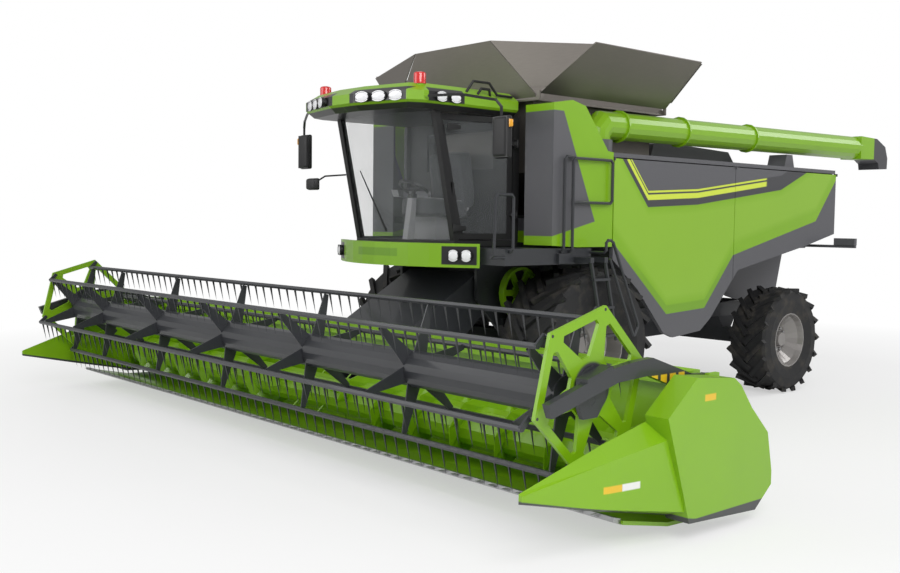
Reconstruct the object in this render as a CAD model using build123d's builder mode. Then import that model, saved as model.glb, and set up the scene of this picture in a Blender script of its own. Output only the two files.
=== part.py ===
"""Combine harvester with a wide pick-up reel header, as an assembly of separate pieces.

Millimetres. +X is forward, +Y is the machine's left, +Z is up, and the ground is at z = 0.
Side outlines are lists of (distance ahead of the front axle, height).
"""

import os
from math import atan2, cos, degrees, pi, radians, sin, sqrt

from build123d import *

os.makedirs("parts", exist_ok=True)

# ---------------------------------------------------------------- driving dimensions
FRONT_AXLE_X = 1500  # front axle ahead of the machine's middle
WHEELBASE = 4000
RUN_GAP = 0.3  # between a turning face and its seat
ROUND_FACETS = 16
FLATNESS = 1e-4
SIDES = {"left": 1, "right": -1}

FRONT_TYRE_R = 920
FRONT_TYRE_WIDTH = 800
FRONT_RIM_R = 425
FRONT_WHEEL_Y = 1350
REAR_TYRE_R = 735
REAR_TYRE_WIDTH = 560
REAR_RIM_R = 375
REAR_WHEEL_Y = 1530
KINGPIN_Y = 1130
RIM_WALL = 16
WHEEL_FACETS = 24
LUGS_PER_SIDE = 18
LUG_WIDTH = 62

CORE_HALF_WIDTH = 660
RAIL_WIDTH = 100
RAIL_BOTTOM = 1000
RAIL_TOP = 1200
DECK_BOTTOM = 3100
DECK_TOP = 3150
BODY_HALF_WIDTH = 1620
PANEL_THICKNESS = 50
PANEL_TOP = 3085
PANEL_SEAM_X = -2800
BODY_FRONT_X = -310
BODY_REAR_X = -5440

TANK_HALF_WIDTH = 1120
TANK_FRONT_X = 520
TANK_REAR_X = -1600
TANK_TOP = 3720
TANK_WALL = 25
FLAP_THICKNESS = 16

CAB_FLOOR_BOTTOM = 2060
CAB_FLOOR_TOP = 2120
CAB_TOP = 3520
CAB_REAR_X = 600
CAB_HALF_WIDTH = 985
DOOR_HINGE_X = 690
DOOR_HINGE_Y = 1035
DOOR_HINGES = (2420, 3220)
DOOR_PIN_R = 8
GLASS_THICKNESS = 8

UNLOADER_X = -300
UNLOADER_Y = 1340
UNLOADER_R = 175
UNLOADER_FLOOR = 3305
UNLOADER_END_X = -6450

FEEDER_PIVOT = (800, 1600)
FEEDER_HALF_WIDTH = 620
FEEDER_PIN_R = 45
AUGER_CENTRE = (2580, 450)
AUGER_TUBE_R = 190
AUGER_FLIGHT_R = 320
AUGER_PITCH = 590
AUGER_HALF_LENGTH = 4600
GUARD_PITCH = 152.4
GUARDS = 61

REEL_CENTRE = (3520, 1090)
REEL_R = 574
REEL_PHASE = -16
CRANK_OFFSET = (-73, 70)  # the eccentric's centre from the reel's
REEL_DRUM_R = 155
REEL_HALF_LENGTH = 4400
REEL_SHAFT_R = 40
REEL_PLATE_Y = 4530
REEL_PLATE_THICKNESS = 30
REEL_BAR_R = 24
REEL_BAR_HALF_LENGTH = 4490
TINE_PITCH = 152
TINES_PER_BAR = 59
TINE_LENGTH = 235
SPIDER_Y = (-4380, -3420, -1890, -360, 1170, 2700, 4380)
REEL_BARS = 6
ARM_Y = 4630
ARM_THICKNESS = 60


# ---------------------------------------------------------------- shared ways of making
def ahead(x):
    """X of a place that lies x ahead of the front axle."""
    return FRONT_AXLE_X + x


def side_plate(points, y_from, y_to, mode=Mode.ADD):
    """A plate with a side outline of (ahead of the front axle, height) points."""
    with BuildSketch(Plane.XZ.offset(-y_from)) as outline:
        with BuildLine():
            Polyline([(ahead(x), z) for x, z in points], close=True)
        make_face()
    extrude(outline.sketch, amount=y_from - y_to, mode=mode)


def side_pair(points, y_from, y_to, mode=Mode.ADD):
    """The same plate on the left and on the right."""
    side_plate(points, y_from, y_to, mode)
    side_plate(points, -y_to, -y_from, mode)


def plan_plate(points, z_from, z_to, mode=Mode.ADD):
    """A plate with a plan outline of (ahead of the front axle, y) points."""
    with BuildSketch(Plane.XY.offset(z_from)) as outline:
        with BuildLine():
            Polyline([(ahead(x), y) for x, y in points], close=True)
        make_face()
    extrude(outline.sketch, amount=z_to - z_from, mode=mode)


def block(x_from, x_to, y_from, y_to, z_from, z_to, mode=Mode.ADD):
    """A block between two stations ahead of the front axle, two widths and two heights."""
    corners = [(x_from, y_from), (x_to, y_from), (x_to, y_to), (x_from, y_to)]
    plan_plate(corners, z_from, z_to, mode)


def block_pair(x_from, x_to, y_from, y_to, z_from, z_to, mode=Mode.ADD):
    """The same block on the left and on the right."""
    block(x_from, x_to, y_from, y_to, z_from, z_to, mode)
    block(x_from, x_to, -y_to, -y_from, z_from, z_to, mode)


def bar(place, radius, length, facets, mode):
    """A round or faceted bar up from a plane; a faceted bore's flats clear its pin's corners."""
    with BuildSketch(place) as end:
        if facets:
            RegularPolygon(radius, facets, major_radius=mode is not Mode.SUBTRACT)
        else:
            Circle(radius)
    extrude(end.sketch, amount=length, mode=mode)


def cross_shaft(centre, radius, y_from, y_to, facets=ROUND_FACETS, mode=Mode.ADD):
    """A bar along Y, at (ahead of the front axle, height)."""
    place = Plane((ahead(centre[0]), y_from, centre[1]), x_dir=(1, 0, 0), z_dir=(0, 1, 0))
    bar(place, radius, y_to - y_from, facets, mode)


def post(x, y, radius, z_from, z_to, facets=ROUND_FACETS, mode=Mode.ADD):
    """A bar along Z."""
    bar(Plane((ahead(x), y, z_from)), radius, z_to - z_from, facets, mode)


def rod(start, end, radius, facets=ROUND_FACETS, mode=Mode.ADD):
    """A straight bar between two (ahead of the front axle, y, z) points."""
    first = Vector(ahead(start[0]), start[1], start[2])
    last = Vector(ahead(end[0]), end[1], end[2])
    bar(Plane(first, z_dir=last - first), radius, (last - first).length, facets, mode)


def rail(points, radius, bend, facets=6):
    """A bent tube through the points, each corner cut by a short chord."""
    route = [Vector(*points[0])]
    for before, corner, after in zip(points, points[1:], points[2:]):
        corner = Vector(*corner)
        for neighbour in (before, after):
            route.append(corner + (Vector(*neighbour) - corner).normalized() * bend)
    route.append(Vector(*points[-1]))
    last = len(route) - 2
    for index, (start, end) in enumerate(zip(route, route[1:])):
        reach = (end - start).normalized() * (radius * 0.45)
        if index > 0:
            start = start - reach
        if index < last:
            end = end + reach
        rod((start.X, start.Y, start.Z), (end.X, end.Y, end.Z), radius, facets=facets)


def faceted_solid(faces):
    """A closed solid from lists of corner points, one list a face."""
    return Solid(Shell([Face(Wire.make_polygon(corners)) for corners in faces]))


def skinned(sections, mode=Mode.ADD):
    """A closed form through like outlines, with a flat end at the first and the last."""
    faces = [sections[0], sections[-1]]
    for low, high in zip(sections, sections[1:]):
        for index, corner in enumerate(low):
            after = (index + 1) % len(low)
            quad = [corner, low[after], high[after], high[index]]
            normal = (quad[1] - quad[0]).cross(quad[3] - quad[0]).normalized()
            if abs((quad[2] - quad[0]).dot(normal)) < FLATNESS:
                faces.append(quad)
            else:
                faces += [quad[:3], [quad[0], quad[2], quad[3]]]
    add(faceted_solid(faces), mode=mode)


def turned(stations, mode=Mode.ADD):
    """A faceted form about a wheel's axis, through (y, radius) stations."""
    turns = [2 * pi * index / WHEEL_FACETS for index in range(WHEEL_FACETS)]
    rings = [[Vector(r * cos(turn), y, r * sin(turn)) for turn in turns] for y, r in stations]
    skinned(rings, mode)


def oval(half_width, half_height, facets=10):
    """Corner points of a faceted oval."""
    turns = [2 * pi * (index + 0.5) / facets for index in range(facets)]
    return [(half_width * cos(turn), half_height * sin(turn)) for turn in turns]


# ---------------------------------------------------------------- wheels
# Tyre section, from one bead to the other, as (share of half width, share of the wall's height).
TYRE_SECTION = [
    (-0.90, 0.00),
    (-1.00, 0.45),
    (-0.96, 0.80),
    (-0.84, 0.885),
    (0.84, 0.885),
    (0.96, 0.80),
    (1.00, 0.45),
    (0.90, 0.00),
]
WHEELS = {
    # name: (axle's x, tyre radius, tyre width, rim radius, wheel's y, disc's y from the middle)
    "front": (FRONT_AXLE_X, FRONT_TYRE_R, FRONT_TYRE_WIDTH, FRONT_RIM_R, FRONT_WHEEL_Y, 40),
    "rear": (
        FRONT_AXLE_X - WHEELBASE,
        REAR_TYRE_R,
        REAR_TYRE_WIDTH,
        REAR_RIM_R,
        REAR_WHEEL_Y,
        60,
    ),
}
DISC_THICKNESS = 24
HUB_CAP_R = 110
LUG_SLANT = 46
LUG_SINK = 40

for axle, (axle_x, tyre_r, width, rim_r, wheel_y, disc_y) in WHEELS.items():
    wall = tyre_r - rim_r
    lug_length = 0.52 * width / cos(radians(LUG_SLANT))
    lug_reach = (lug_length * sin(radians(LUG_SLANT)) + LUG_WIDTH * cos(radians(LUG_SLANT))) / 2
    lug_top = sqrt(tyre_r**2 - lug_reach**2)
    lug_base = rim_r + 0.885 * wall - LUG_SINK
    with BuildPart() as tyre:
        turned([(share * width / 2, rim_r + rise * wall) for share, rise in TYRE_SECTION])
        turned([(-width, rim_r), (width, rim_r)], mode=Mode.SUBTRACT)
        lug_places = []
        for index in range(LUGS_PER_SIDE):
            for half, stagger in ((1, 0), (-1, 0.5)):
                turn = radians(-90 + 360 * (index + stagger) / LUGS_PER_SIDE)
                out = Vector(cos(turn), 0, sin(turn))
                around = Vector(-sin(turn), 0, cos(turn))
                slant = radians(LUG_SLANT)
                along = Vector(0, half, 0) * cos(slant) + around * sin(slant)
                middle = out * ((lug_top + lug_base) / 2) + Vector(0, half * 0.235 * width, 0)
                lug_places.append(Plane(middle, x_dir=along, z_dir=out).location)
        with Locations(*lug_places):
            Box(lug_length, LUG_WIDTH, lug_top - lug_base)
    with BuildPart() as rim:
        half = 0.9 * width / 2
        turned([(-half, rim_r), (half, rim_r)])
        outer = [(half, rim_r - RIM_WALL), (disc_y + 120, rim_r - 45), (disc_y, 0.52 * rim_r)]
        inner = [(-half, rim_r - RIM_WALL), (disc_y + 70, rim_r - 45)]
        inner.append((disc_y - DISC_THICKNESS, 0.50 * rim_r))
        turned(outer, mode=Mode.SUBTRACT)
        turned(inner, mode=Mode.SUBTRACT)
        hub = Plane((0, disc_y, 0), x_dir=(1, 0, 0), z_dir=(0, 1, 0))
        with BuildSketch(hub) as cap:
            RegularPolygon(HUB_CAP_R, 16)
        extrude(cap.sketch, amount=70, taper=12)
    for side, sign in SIDES.items():
        name = f"{side}_{axle}"
        for piece, kind in ((tyre, "tyre"), (rim, "rim")):
            with BuildPart() as wheel_piece:
                turned_piece = piece.part if sign > 0 else mirror(piece.part, about=Plane.XZ, mode=Mode.PRIVATE)
                add(turned_piece.moved(Location((axle_x, sign * wheel_y, tyre_r))))
            wheel_piece.part.label = f"{name}_{kind}"
            export_step(wheel_piece.part, f"parts/{name}_{kind}.step")

# ---------------------------------------------------------------- frame and axles
RAIL_INNER_Y = CORE_HALF_WIDTH
RAIL_OUTER_Y = CORE_HALF_WIDTH + RAIL_WIDTH
REAR_AXLE = -WHEELBASE
FRAME_REAR_X = -4650
HITCH_X = -4780
HITCH_PIN_R = 16.5
PULLEY = (420, 1510)
PULLEY_Y = 800
PULLEY_SHAFT_R = 30
BRACKET_THICKNESS = 40

with BuildPart() as main_frame:
    block_pair(FRAME_REAR_X, CAB_REAR_X, RAIL_INNER_Y, RAIL_OUTER_Y, RAIL_BOTTOM, RAIL_TOP)
    bracket = [
        (400, RAIL_TOP - 50),
        (CAB_REAR_X, RAIL_BOTTOM + 40),
        (980, 1450),
        (980, CAB_FLOOR_BOTTOM),
        (400, CAB_FLOOR_BOTTOM),
    ]
    side_pair(bracket, RAIL_INNER_Y, RAIL_INNER_Y + BRACKET_THICKNESS)
    cross_shaft(
        FEEDER_PIVOT,
        FEEDER_PIN_R + RUN_GAP,
        -RAIL_OUTER_Y,
        RAIL_OUTER_Y,
        mode=Mode.SUBTRACT,
    )
    block(FRAME_REAR_X - 60, FRAME_REAR_X, -RAIL_OUTER_Y, RAIL_OUTER_Y, RAIL_BOTTOM, RAIL_TOP)
    plan_plate(
        [
            (FRAME_REAR_X - 60, -180),
            (FRAME_REAR_X - 60, 180),
            (HITCH_X - 60, 70),
            (HITCH_X - 60, -70),
        ],
        RAIL_BOTTOM,
        RAIL_BOTTOM + 30,
    )
    post(
        HITCH_X,
        0,
        HITCH_PIN_R,
        RAIL_BOTTOM - 10,
        RAIL_BOTTOM + 60,
        facets=None,
        mode=Mode.SUBTRACT,
    )
    cross_shaft(PULLEY, PULLEY_SHAFT_R, RAIL_INNER_Y + BRACKET_THICKNESS, PULLEY_Y + 90)
    cross_shaft(PULLEY, 60, RAIL_INNER_Y + BRACKET_THICKNESS, PULLEY_Y - RUN_GAP, facets=12)
main_frame.part.label = "main_frame"
export_step(main_frame.part, "parts/main_frame.step")

FRONT_BEAM_HALF = 110
FINAL_DRIVE_Y = 760
LIFT_BASE = (330, 780)
LIFT_EYE = (1560, 520)
LIFT_Y = 500
LIFT_PIN_R = 25
LIFT_BARREL_R = 55
LIFT_ROD_R = 30
LIFT_EYE_WIDTH = 50
LIFT_EYE_R = 40

with BuildPart() as front_axle:
    beam = [
        (-FRONT_BEAM_HALF, FRONT_TYRE_R - FRONT_BEAM_HALF),
        (FRONT_BEAM_HALF, FRONT_TYRE_R - FRONT_BEAM_HALF),
        (FRONT_BEAM_HALF, RAIL_BOTTOM),
        (-FRONT_BEAM_HALF, RAIL_BOTTOM),
    ]
    side_plate(beam, -RAIL_OUTER_Y, RAIL_OUTER_Y)
    for sign in SIDES.values():
        ends = sorted((sign * FINAL_DRIVE_Y, sign * (FINAL_DRIVE_Y + 150)))
        cross_shaft((0, FRONT_TYRE_R), 210, *ends, facets=16)
        disc_inner = FRONT_WHEEL_Y + WHEELS["front"][5] - DISC_THICKNESS - RUN_GAP
        ends = sorted((sign * (FINAL_DRIVE_Y + 150), sign * disc_inner))
        cross_shaft((0, FRONT_TYRE_R), 105, *ends, facets=16)
    for y in (LIFT_Y - 76, LIFT_Y + 60):
        arm = [(100, 860), (100, 980), (LIFT_BASE[0] + 45, 820), (LIFT_BASE[0] + 45, 740), (290, 730)]
        side_pair(arm, y, y + 16)
    for sign in SIDES.values():
        ends = sorted((sign * (LIFT_Y - 76), sign * (LIFT_Y + 76)))
        cross_shaft(LIFT_BASE, LIFT_PIN_R, *ends)
front_axle.part.label = "front_axle"
export_step(front_axle.part, "parts/front_axle.step")

KINGPIN_R = 75
YOKE_GAP = 6
YOKE_PLATE = 40
with BuildPart() as rear_axle:
    half = 100
    beam = [
        (REAR_AXLE - half, REAR_TYRE_R - half),
        (REAR_AXLE + half, REAR_TYRE_R - half),
        (REAR_AXLE + half, REAR_TYRE_R + half),
        (REAR_AXLE - half, REAR_TYRE_R + half),
    ]
    side_plate(beam, -KINGPIN_Y + 20, KINGPIN_Y - 20)
    for sign in SIDES.values():
        post(REAR_AXLE, sign * KINGPIN_Y, KINGPIN_R, REAR_TYRE_R - 130, REAR_TYRE_R + 130, facets=16)
    tower = [(REAR_AXLE - 220, RAIL_BOTTOM), (REAR_AXLE + 220, RAIL_BOTTOM)]
    tower += [(REAR_AXLE + half, REAR_TYRE_R + 90), (REAR_AXLE - half, REAR_TYRE_R + 90)]
    side_pair(tower, 480, RAIL_OUTER_Y)
    cylinder_line = (REAR_AXLE - 150, REAR_TYRE_R - 20)
    cross_shaft(cylinder_line, 45, -420, 420, facets=12)
    block(REAR_AXLE - 170, REAR_AXLE - half, -60, 60, REAR_TYRE_R - 80, REAR_TYRE_R + 40)
rear_axle.part.label = "rear_axle"
export_step(rear_axle.part, "parts/rear_axle.step")

for side, sign in SIDES.items():
    with BuildPart() as knuckle:
        low = REAR_TYRE_R - 130 - YOKE_GAP
        high = REAR_TYRE_R + 130 + YOKE_GAP
        web_y = KINGPIN_Y + KINGPIN_R + 12
        for plate_low, plate_high in ((low - YOKE_PLATE, low), (high, high + YOKE_PLATE)):
            ends = sorted((sign * (KINGPIN_Y - 60), sign * (web_y + 40)))
            block(REAR_AXLE - 70, REAR_AXLE + 70, *ends, plate_low, plate_high)
        ends = sorted((sign * web_y, sign * (web_y + 40)))
        block(REAR_AXLE - 70, REAR_AXLE + 70, *ends, low - YOKE_PLATE, high + YOKE_PLATE)
        for z_low, z_high in ((low, low + YOKE_GAP - RUN_GAP), (high - YOKE_GAP + RUN_GAP, high)):
            post(REAR_AXLE, sign * KINGPIN_Y, 50, z_low, z_high, facets=12)
        disc_inner = REAR_WHEEL_Y + WHEELS["rear"][5] - DISC_THICKNESS - RUN_GAP
        ends = sorted((sign * (web_y + 40), sign * disc_inner))
        cross_shaft((REAR_AXLE, REAR_TYRE_R), 80, *ends, facets=16)
    knuckle.part.label = f"{side}_knuckle"
    export_step(knuckle.part, f"parts/{side}_knuckle.step")

# ---------------------------------------------------------------- body core, engine and hoods
CORE_TOP = 2420
ENGINE_FRONT_X = -1950
ENGINE_REAR_X = -3250

with BuildPart() as threshing_body:
    side_plate(
        [
            (CAB_REAR_X, 1250),
            (CAB_REAR_X, 2040),
            (520, CORE_TOP),
            (-3600, CORE_TOP),
            (-3600, 1350),
            (-3300, 820),
            (-1000, 760),
            (-560, 1080),
            (160, 1080),
            (380, 1180),
        ],
        -CORE_HALF_WIDTH,
        CORE_HALF_WIDTH,
    )
threshing_body.part.label = "threshing_body"
export_step(threshing_body.part, "parts/threshing_body.step")

with BuildPart() as engine:
    block(ENGINE_REAR_X, ENGINE_FRONT_X, -480, 480, CORE_TOP, 3050)
    chamfer(engine.edges().filter_by(Axis.X).group_by(Axis.Z)[-1], 80)
engine.part.label = "engine"
export_step(engine.part, "parts/engine.step")

DECK_HALF_WIDTH = 1600
COVER_TOP = 3420
with BuildPart() as engine_hood:
    block(BODY_REAR_X, TANK_REAR_X - 30, -DECK_HALF_WIDTH, DECK_HALF_WIDTH, DECK_BOTTOM, DECK_TOP)
    for x_from, x_to, y_to in (
        (TANK_REAR_X - 30, BODY_FRONT_X, DECK_HALF_WIDTH),
        (BODY_FRONT_X, 60, 1550),
    ):
        block_pair(x_from, x_to, TANK_HALF_WIDTH + 10, y_to, DECK_BOTTOM, DECK_TOP)
    side_pair(
        [
            (-3600, CORE_TOP),
            (TANK_REAR_X - 60, CORE_TOP),
            (TANK_REAR_X - 60, DECK_BOTTOM),
            (-3600, DECK_BOTTOM),
        ],
        CORE_HALF_WIDTH - 30,
        CORE_HALF_WIDTH,
    )
    cover = [
        (-1900, DECK_TOP),
        (-1980, COVER_TOP - 40),
        (-2060, COVER_TOP),
        (-3700, COVER_TOP - 60),
        (-3900, DECK_TOP),
    ]
    side_plate(cover, -1050, 900)
    side_plate(
        [
            (-4560, DECK_TOP),
            (-4500, DECK_TOP + 190),
            (-4350, DECK_TOP + 190),
            (-4290, DECK_TOP),
        ],
        UNLOADER_Y - 180,
        UNLOADER_Y + 100,
    )
    post(UNLOADER_X, UNLOADER_Y, 200, DECK_TOP, UNLOADER_FLOOR - RUN_GAP, facets=16)
    # Ears that carry the side panels' hinge line, in the seams at the panels' ends.
    for low_x, high_x in (
        (BODY_FRONT_X - 10, BODY_FRONT_X),
        (PANEL_SEAM_X - 5, PANEL_SEAM_X + 5),
        (BODY_REAR_X, BODY_REAR_X + 10),
    ):
        block_pair(low_x + RUN_GAP, high_x - RUN_GAP, 1580, 1640, PANEL_TOP - 25, DECK_BOTTOM)
engine_hood.part.label = "engine_hood"
export_step(engine_hood.part, "parts/engine_hood.step")

HOOD_HALF_WIDTH = 880
with BuildPart() as rear_hood:
    shell = [
        (-3610, 1380),
        (-3610, DECK_BOTTOM),
        (BODY_REAR_X + 40, DECK_BOTTOM),
        (BODY_REAR_X + 40, 2240),
        (-5250, 1900),
        (-5080, 1300),
        (-4700, 1210),
        (-4200, 1210),
        (-3800, 1300),
    ]
    inside = [
        (-3650, 1400),
        (-3650, 3060),
        (-5360, 3060),
        (-5360, 2250),
        (-5210, 1910),
        (-5045, 1330),
        (-4700, 1150),
        (-4200, 1150),
        (-3815, 1250),
    ]
    side_plate(shell, -HOOD_HALF_WIDTH, HOOD_HALF_WIDTH)
    side_plate(inside, -HOOD_HALF_WIDTH + 30, HOOD_HALF_WIDTH - 30, mode=Mode.SUBTRACT)
    block(BODY_REAR_X, BODY_REAR_X + 40, -1560, 1560, 2230, DECK_BOTTOM)
    block_pair(BODY_REAR_X + 40, -5100, 1130, 1180, 1990, 2050)
    block_pair(BODY_REAR_X + 40, -5300, HOOD_HALF_WIDTH, 1180, 2050, 2330)
    block_pair(-5340, -5300, 1180, 2020, 2010, 2050)
    block_pair(-5350, -5280, 1700, 2020, 2050, 2150)
    for ridge in range(7):
        low = 2400 + 90 * ridge
        block(BODY_REAR_X - 12, BODY_REAR_X, -700, 700, low, low + 45)
rear_hood.part.label = "rear_hood"
export_step(rear_hood.part, "parts/rear_hood.step")

# ---------------------------------------------------------------- fixed front side panels
with BuildPart() as front_panels:
    outline = [
        (720, 2080),
        (720, 3640),
        (420, 3690),
        (200, 3640),
        (-200, 3160),
        (-300, 3150),
        (-300, 2060),
        (300, 2060),
    ]
    side_pair(outline, BODY_HALF_WIDTH - 60, BODY_HALF_WIDTH)
    block_pair(690, 720, 1190, BODY_HALF_WIDTH - 60, 2080, 3640)
    block_pair(-60, -20, CORE_HALF_WIDTH, BODY_HALF_WIDTH - 60, 2100, 2380)
    block_pair(460, 500, CORE_HALF_WIDTH, BODY_HALF_WIDTH - 60, 2100, 2380)
    block_pair(500, 690, 1190, 1230, 2100, 2300)
front_panels.part.label = "front_panels"
export_step(front_panels.part, "parts/front_panels.step")

# ---------------------------------------------------------------- hinged side panels
FRONT_PANEL = [
    (BODY_FRONT_X - 10, PANEL_TOP),
    (BODY_FRONT_X - 10, 1910),
    (-800, 1540),
    (-1320, 990),
    (-1520, 920),
    (-2090, 970),
    (-2310, 1120),
    (PANEL_SEAM_X + 5, 1610),
    (PANEL_SEAM_X + 5, PANEL_TOP),
]
REAR_PANEL = [
    (PANEL_SEAM_X - 5, PANEL_TOP),
    (PANEL_SEAM_X - 5, 1620),
    (-2920, 1730),
    (-3520, 1840),
    (-4640, 2040),
    (BODY_REAR_X + 10, 2210),
    (BODY_REAR_X + 10, PANEL_TOP),
]
for side, sign in SIDES.items():
    for name, outline in (("front", FRONT_PANEL), ("rear", REAR_PANEL)):
        with BuildPart() as side_panel:
            ends = sorted((sign * (BODY_HALF_WIDTH - PANEL_THICKNESS), sign * BODY_HALF_WIDTH))
            side_plate(outline, *ends)
        side_panel.part.label = f"{side}_{name}_panel"
        export_step(side_panel.part, f"parts/{side}_{name}_panel.step")

# ---------------------------------------------------------------- grain tank and its flaps
RIM_HALF_WIDTH = 1262
RIM_FRONT_X = 618
RIM_REAR_X = -1698
SIDE_FLAP_HINGE = (1290, 3795)  # y, z
SIDE_FLAP_ENDS = (603, -1683)
END_FLAP_HINGE_Z = 3750
END_FLAP_HALF_WIDTH = 1235
FRONT_FLAP_HINGE_X = 600
REAR_FLAP_HINGE_X = -1680

with BuildPart() as grain_tank:
    hopper = [
        (TANK_FRONT_X, TANK_TOP),
        (TANK_FRONT_X, 2900),
        (-100, CORE_TOP),
        (-1000, CORE_TOP),
        (TANK_REAR_X, 2900),
        (TANK_REAR_X, TANK_TOP),
    ]
    hollow = [
        (TANK_FRONT_X - TANK_WALL, TANK_TOP + 50),
        (TANK_FRONT_X - TANK_WALL, 2912),
        (-110, CORE_TOP + TANK_WALL),
        (-990, CORE_TOP + TANK_WALL),
        (TANK_REAR_X + TANK_WALL, 2912),
        (TANK_REAR_X + TANK_WALL, TANK_TOP + 50),
    ]
    side_plate(hopper, -TANK_HALF_WIDTH, TANK_HALF_WIDTH)
    block(RIM_REAR_X, RIM_FRONT_X, -RIM_HALF_WIDTH, RIM_HALF_WIDTH, TANK_TOP - 20, TANK_TOP)
    side_plate(hollow, -TANK_HALF_WIDTH + TANK_WALL, TANK_HALF_WIDTH - TANK_WALL, mode=Mode.SUBTRACT)
    # Hinge ears, whose faces stand a running gap from the flaps' ends.
    for x, step in zip(SIDE_FLAP_ENDS, (1, -1)):
        ear_x = sorted((x + step * RUN_GAP, x + step * 14))
        block_pair(*ear_x, 1252, SIDE_FLAP_HINGE[0] + 12, TANK_TOP - 20, SIDE_FLAP_HINGE[1] + 14)
    for x, step in ((FRONT_FLAP_HINGE_X, -1), (REAR_FLAP_HINGE_X, 1)):
        ear_x = sorted((x - step * 12, x + step * 60))
        ear_y = (END_FLAP_HALF_WIDTH + RUN_GAP, END_FLAP_HALF_WIDTH + 14)
        block_pair(*ear_x, *ear_y, TANK_TOP - 20, END_FLAP_HINGE_Z + 12)
grain_tank.part.label = "grain_tank"
export_step(grain_tank.part, "parts/grain_tank.step")

# Flaps as in use, standing open: (lean of the slope, length up the slope).
SIDE_FLAP_RISE = (650, 490)
SIDE_FLAP_LENGTH = 814
SIDE_FLAP_TOP = (430, -1510)
END_FLAP_RISE = (180, 660)
END_FLAP_LENGTH = 684
END_FLAP_TOP_HALF = 660
END_FLAP_SHOULDER = 30
WING_THICKNESS = 10
WING_GAP = 12  # to the end flap's slanted edge
WING_SINK = FLAP_THICKNESS + 6  # fold line below the side flap's inner face
WING_LEAD = 18  # fold line ahead of the side flap's front edge
WING_SPAN = (95, 862)  # from and to, up the end flap's slanted edge
WING_FOLD_SPAN = (115, 800)  # from and to, up the side flap's front edge
TANK_MIDDLE_X = (FRONT_FLAP_HINGE_X + REAR_FLAP_HINGE_X) / 2

slope = Vector(0, *SIDE_FLAP_RISE).normalized()
side_flap_plane = Plane(
    (ahead(0), *SIDE_FLAP_HINGE), x_dir=(1, 0, 0), z_dir=Vector(1, 0, 0).cross(slope)
)
with BuildPart() as side_flap:
    with BuildSketch(side_flap_plane) as outline:
        with BuildLine():
            Polyline(
                (SIDE_FLAP_ENDS[0], -10),
                (SIDE_FLAP_ENDS[0], 14),
                (SIDE_FLAP_TOP[0], SIDE_FLAP_LENGTH),
                (SIDE_FLAP_TOP[1], SIDE_FLAP_LENGTH),
                (SIDE_FLAP_ENDS[1], 14),
                (SIDE_FLAP_ENDS[1], -10),
                close=True,
            )
        make_face()
    extrude(outline.sketch, amount=-FLAP_THICKNESS)
for side, sign in SIDES.items():
    with BuildPart() as tank_flap:
        add(side_flap.part if sign > 0 else mirror(side_flap.part, about=Plane.XZ, mode=Mode.PRIVATE))
    tank_flap.part.label = f"{side}_tank_flap"
    export_step(tank_flap.part, f"parts/{side}_tank_flap.step")

slope = Vector(END_FLAP_RISE[0], 0, END_FLAP_RISE[1]).normalized()
end_flap_plane = Plane(
    (ahead(FRONT_FLAP_HINGE_X), 0, END_FLAP_HINGE_Z),
    x_dir=(0, 1, 0),
    z_dir=Vector(0, 1, 0).cross(slope),
)
edge_foot = Vector(END_FLAP_HALF_WIDTH, END_FLAP_SHOULDER, FLAP_THICKNESS)
edge_head = Vector(END_FLAP_TOP_HALF, END_FLAP_LENGTH, FLAP_THICKNESS)
edge_run = (edge_head - edge_foot).normalized()
edge_out = Vector(edge_run.Y, -edge_run.X, 0)
wing_foot, wing_head = (
    end_flap_plane.from_local_coords(edge_foot + edge_run * rise + edge_out * WING_GAP)
    for rise in WING_SPAN
)
fold_slant = (SIDE_FLAP_TOP[0] - SIDE_FLAP_ENDS[0]) / (SIDE_FLAP_LENGTH - 14)
fold_foot, fold_head = (
    side_flap_plane.from_local_coords(
        Vector(SIDE_FLAP_ENDS[0] + WING_LEAD + fold_slant * (rise - 14), rise, -WING_SINK)
    )
    for rise in WING_FOLD_SPAN
)
wing_normal = (wing_head - fold_foot).cross(fold_head - fold_foot).normalized()
if wing_normal.X < 0:
    wing_normal = wing_normal * -1
wing_foot = wing_foot - wing_normal * (wing_foot - fold_foot).dot(wing_normal)

with BuildPart() as end_flap:
    with BuildSketch(end_flap_plane) as outline:
        with BuildLine():
            Polyline(
                (-END_FLAP_HALF_WIDTH, -10),
                (END_FLAP_HALF_WIDTH, -10),
                (END_FLAP_HALF_WIDTH, END_FLAP_SHOULDER),
                (END_FLAP_TOP_HALF, END_FLAP_LENGTH),
                (-END_FLAP_TOP_HALF, END_FLAP_LENGTH),
                (-END_FLAP_HALF_WIDTH, END_FLAP_SHOULDER),
                close=True,
            )
        make_face()
    extrude(outline.sketch, amount=FLAP_THICKNESS)
with BuildPart() as wing:
    corners = [fold_foot, wing_foot, wing_head, fold_head]
    skinned([[corner - wing_normal * WING_THICKNESS for corner in corners], corners])
tank_middle = Plane((ahead(TANK_MIDDLE_X), 0, 0), x_dir=(0, 1, 0), z_dir=(1, 0, 0))
for end in ("front", "rear"):
    with BuildPart() as tank_flap:
        add(end_flap.part if end == "front" else mirror(end_flap.part, about=tank_middle, mode=Mode.PRIVATE))
    tank_flap.part.label = f"{end}_tank_flap"
    export_step(tank_flap.part, f"parts/{end}_tank_flap.step")
    for side, sign in SIDES.items():
        with BuildPart() as tank_wing:
            shape = wing.part if end == "front" else mirror(wing.part, about=tank_middle, mode=Mode.PRIVATE)
            add(shape if sign > 0 else mirror(shape, about=Plane.XZ, mode=Mode.PRIVATE))
        tank_wing.part.label = f"{side}_{end}_tank_wing"
        export_step(tank_wing.part, f"parts/{side}_{end}_tank_wing.step")

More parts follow.
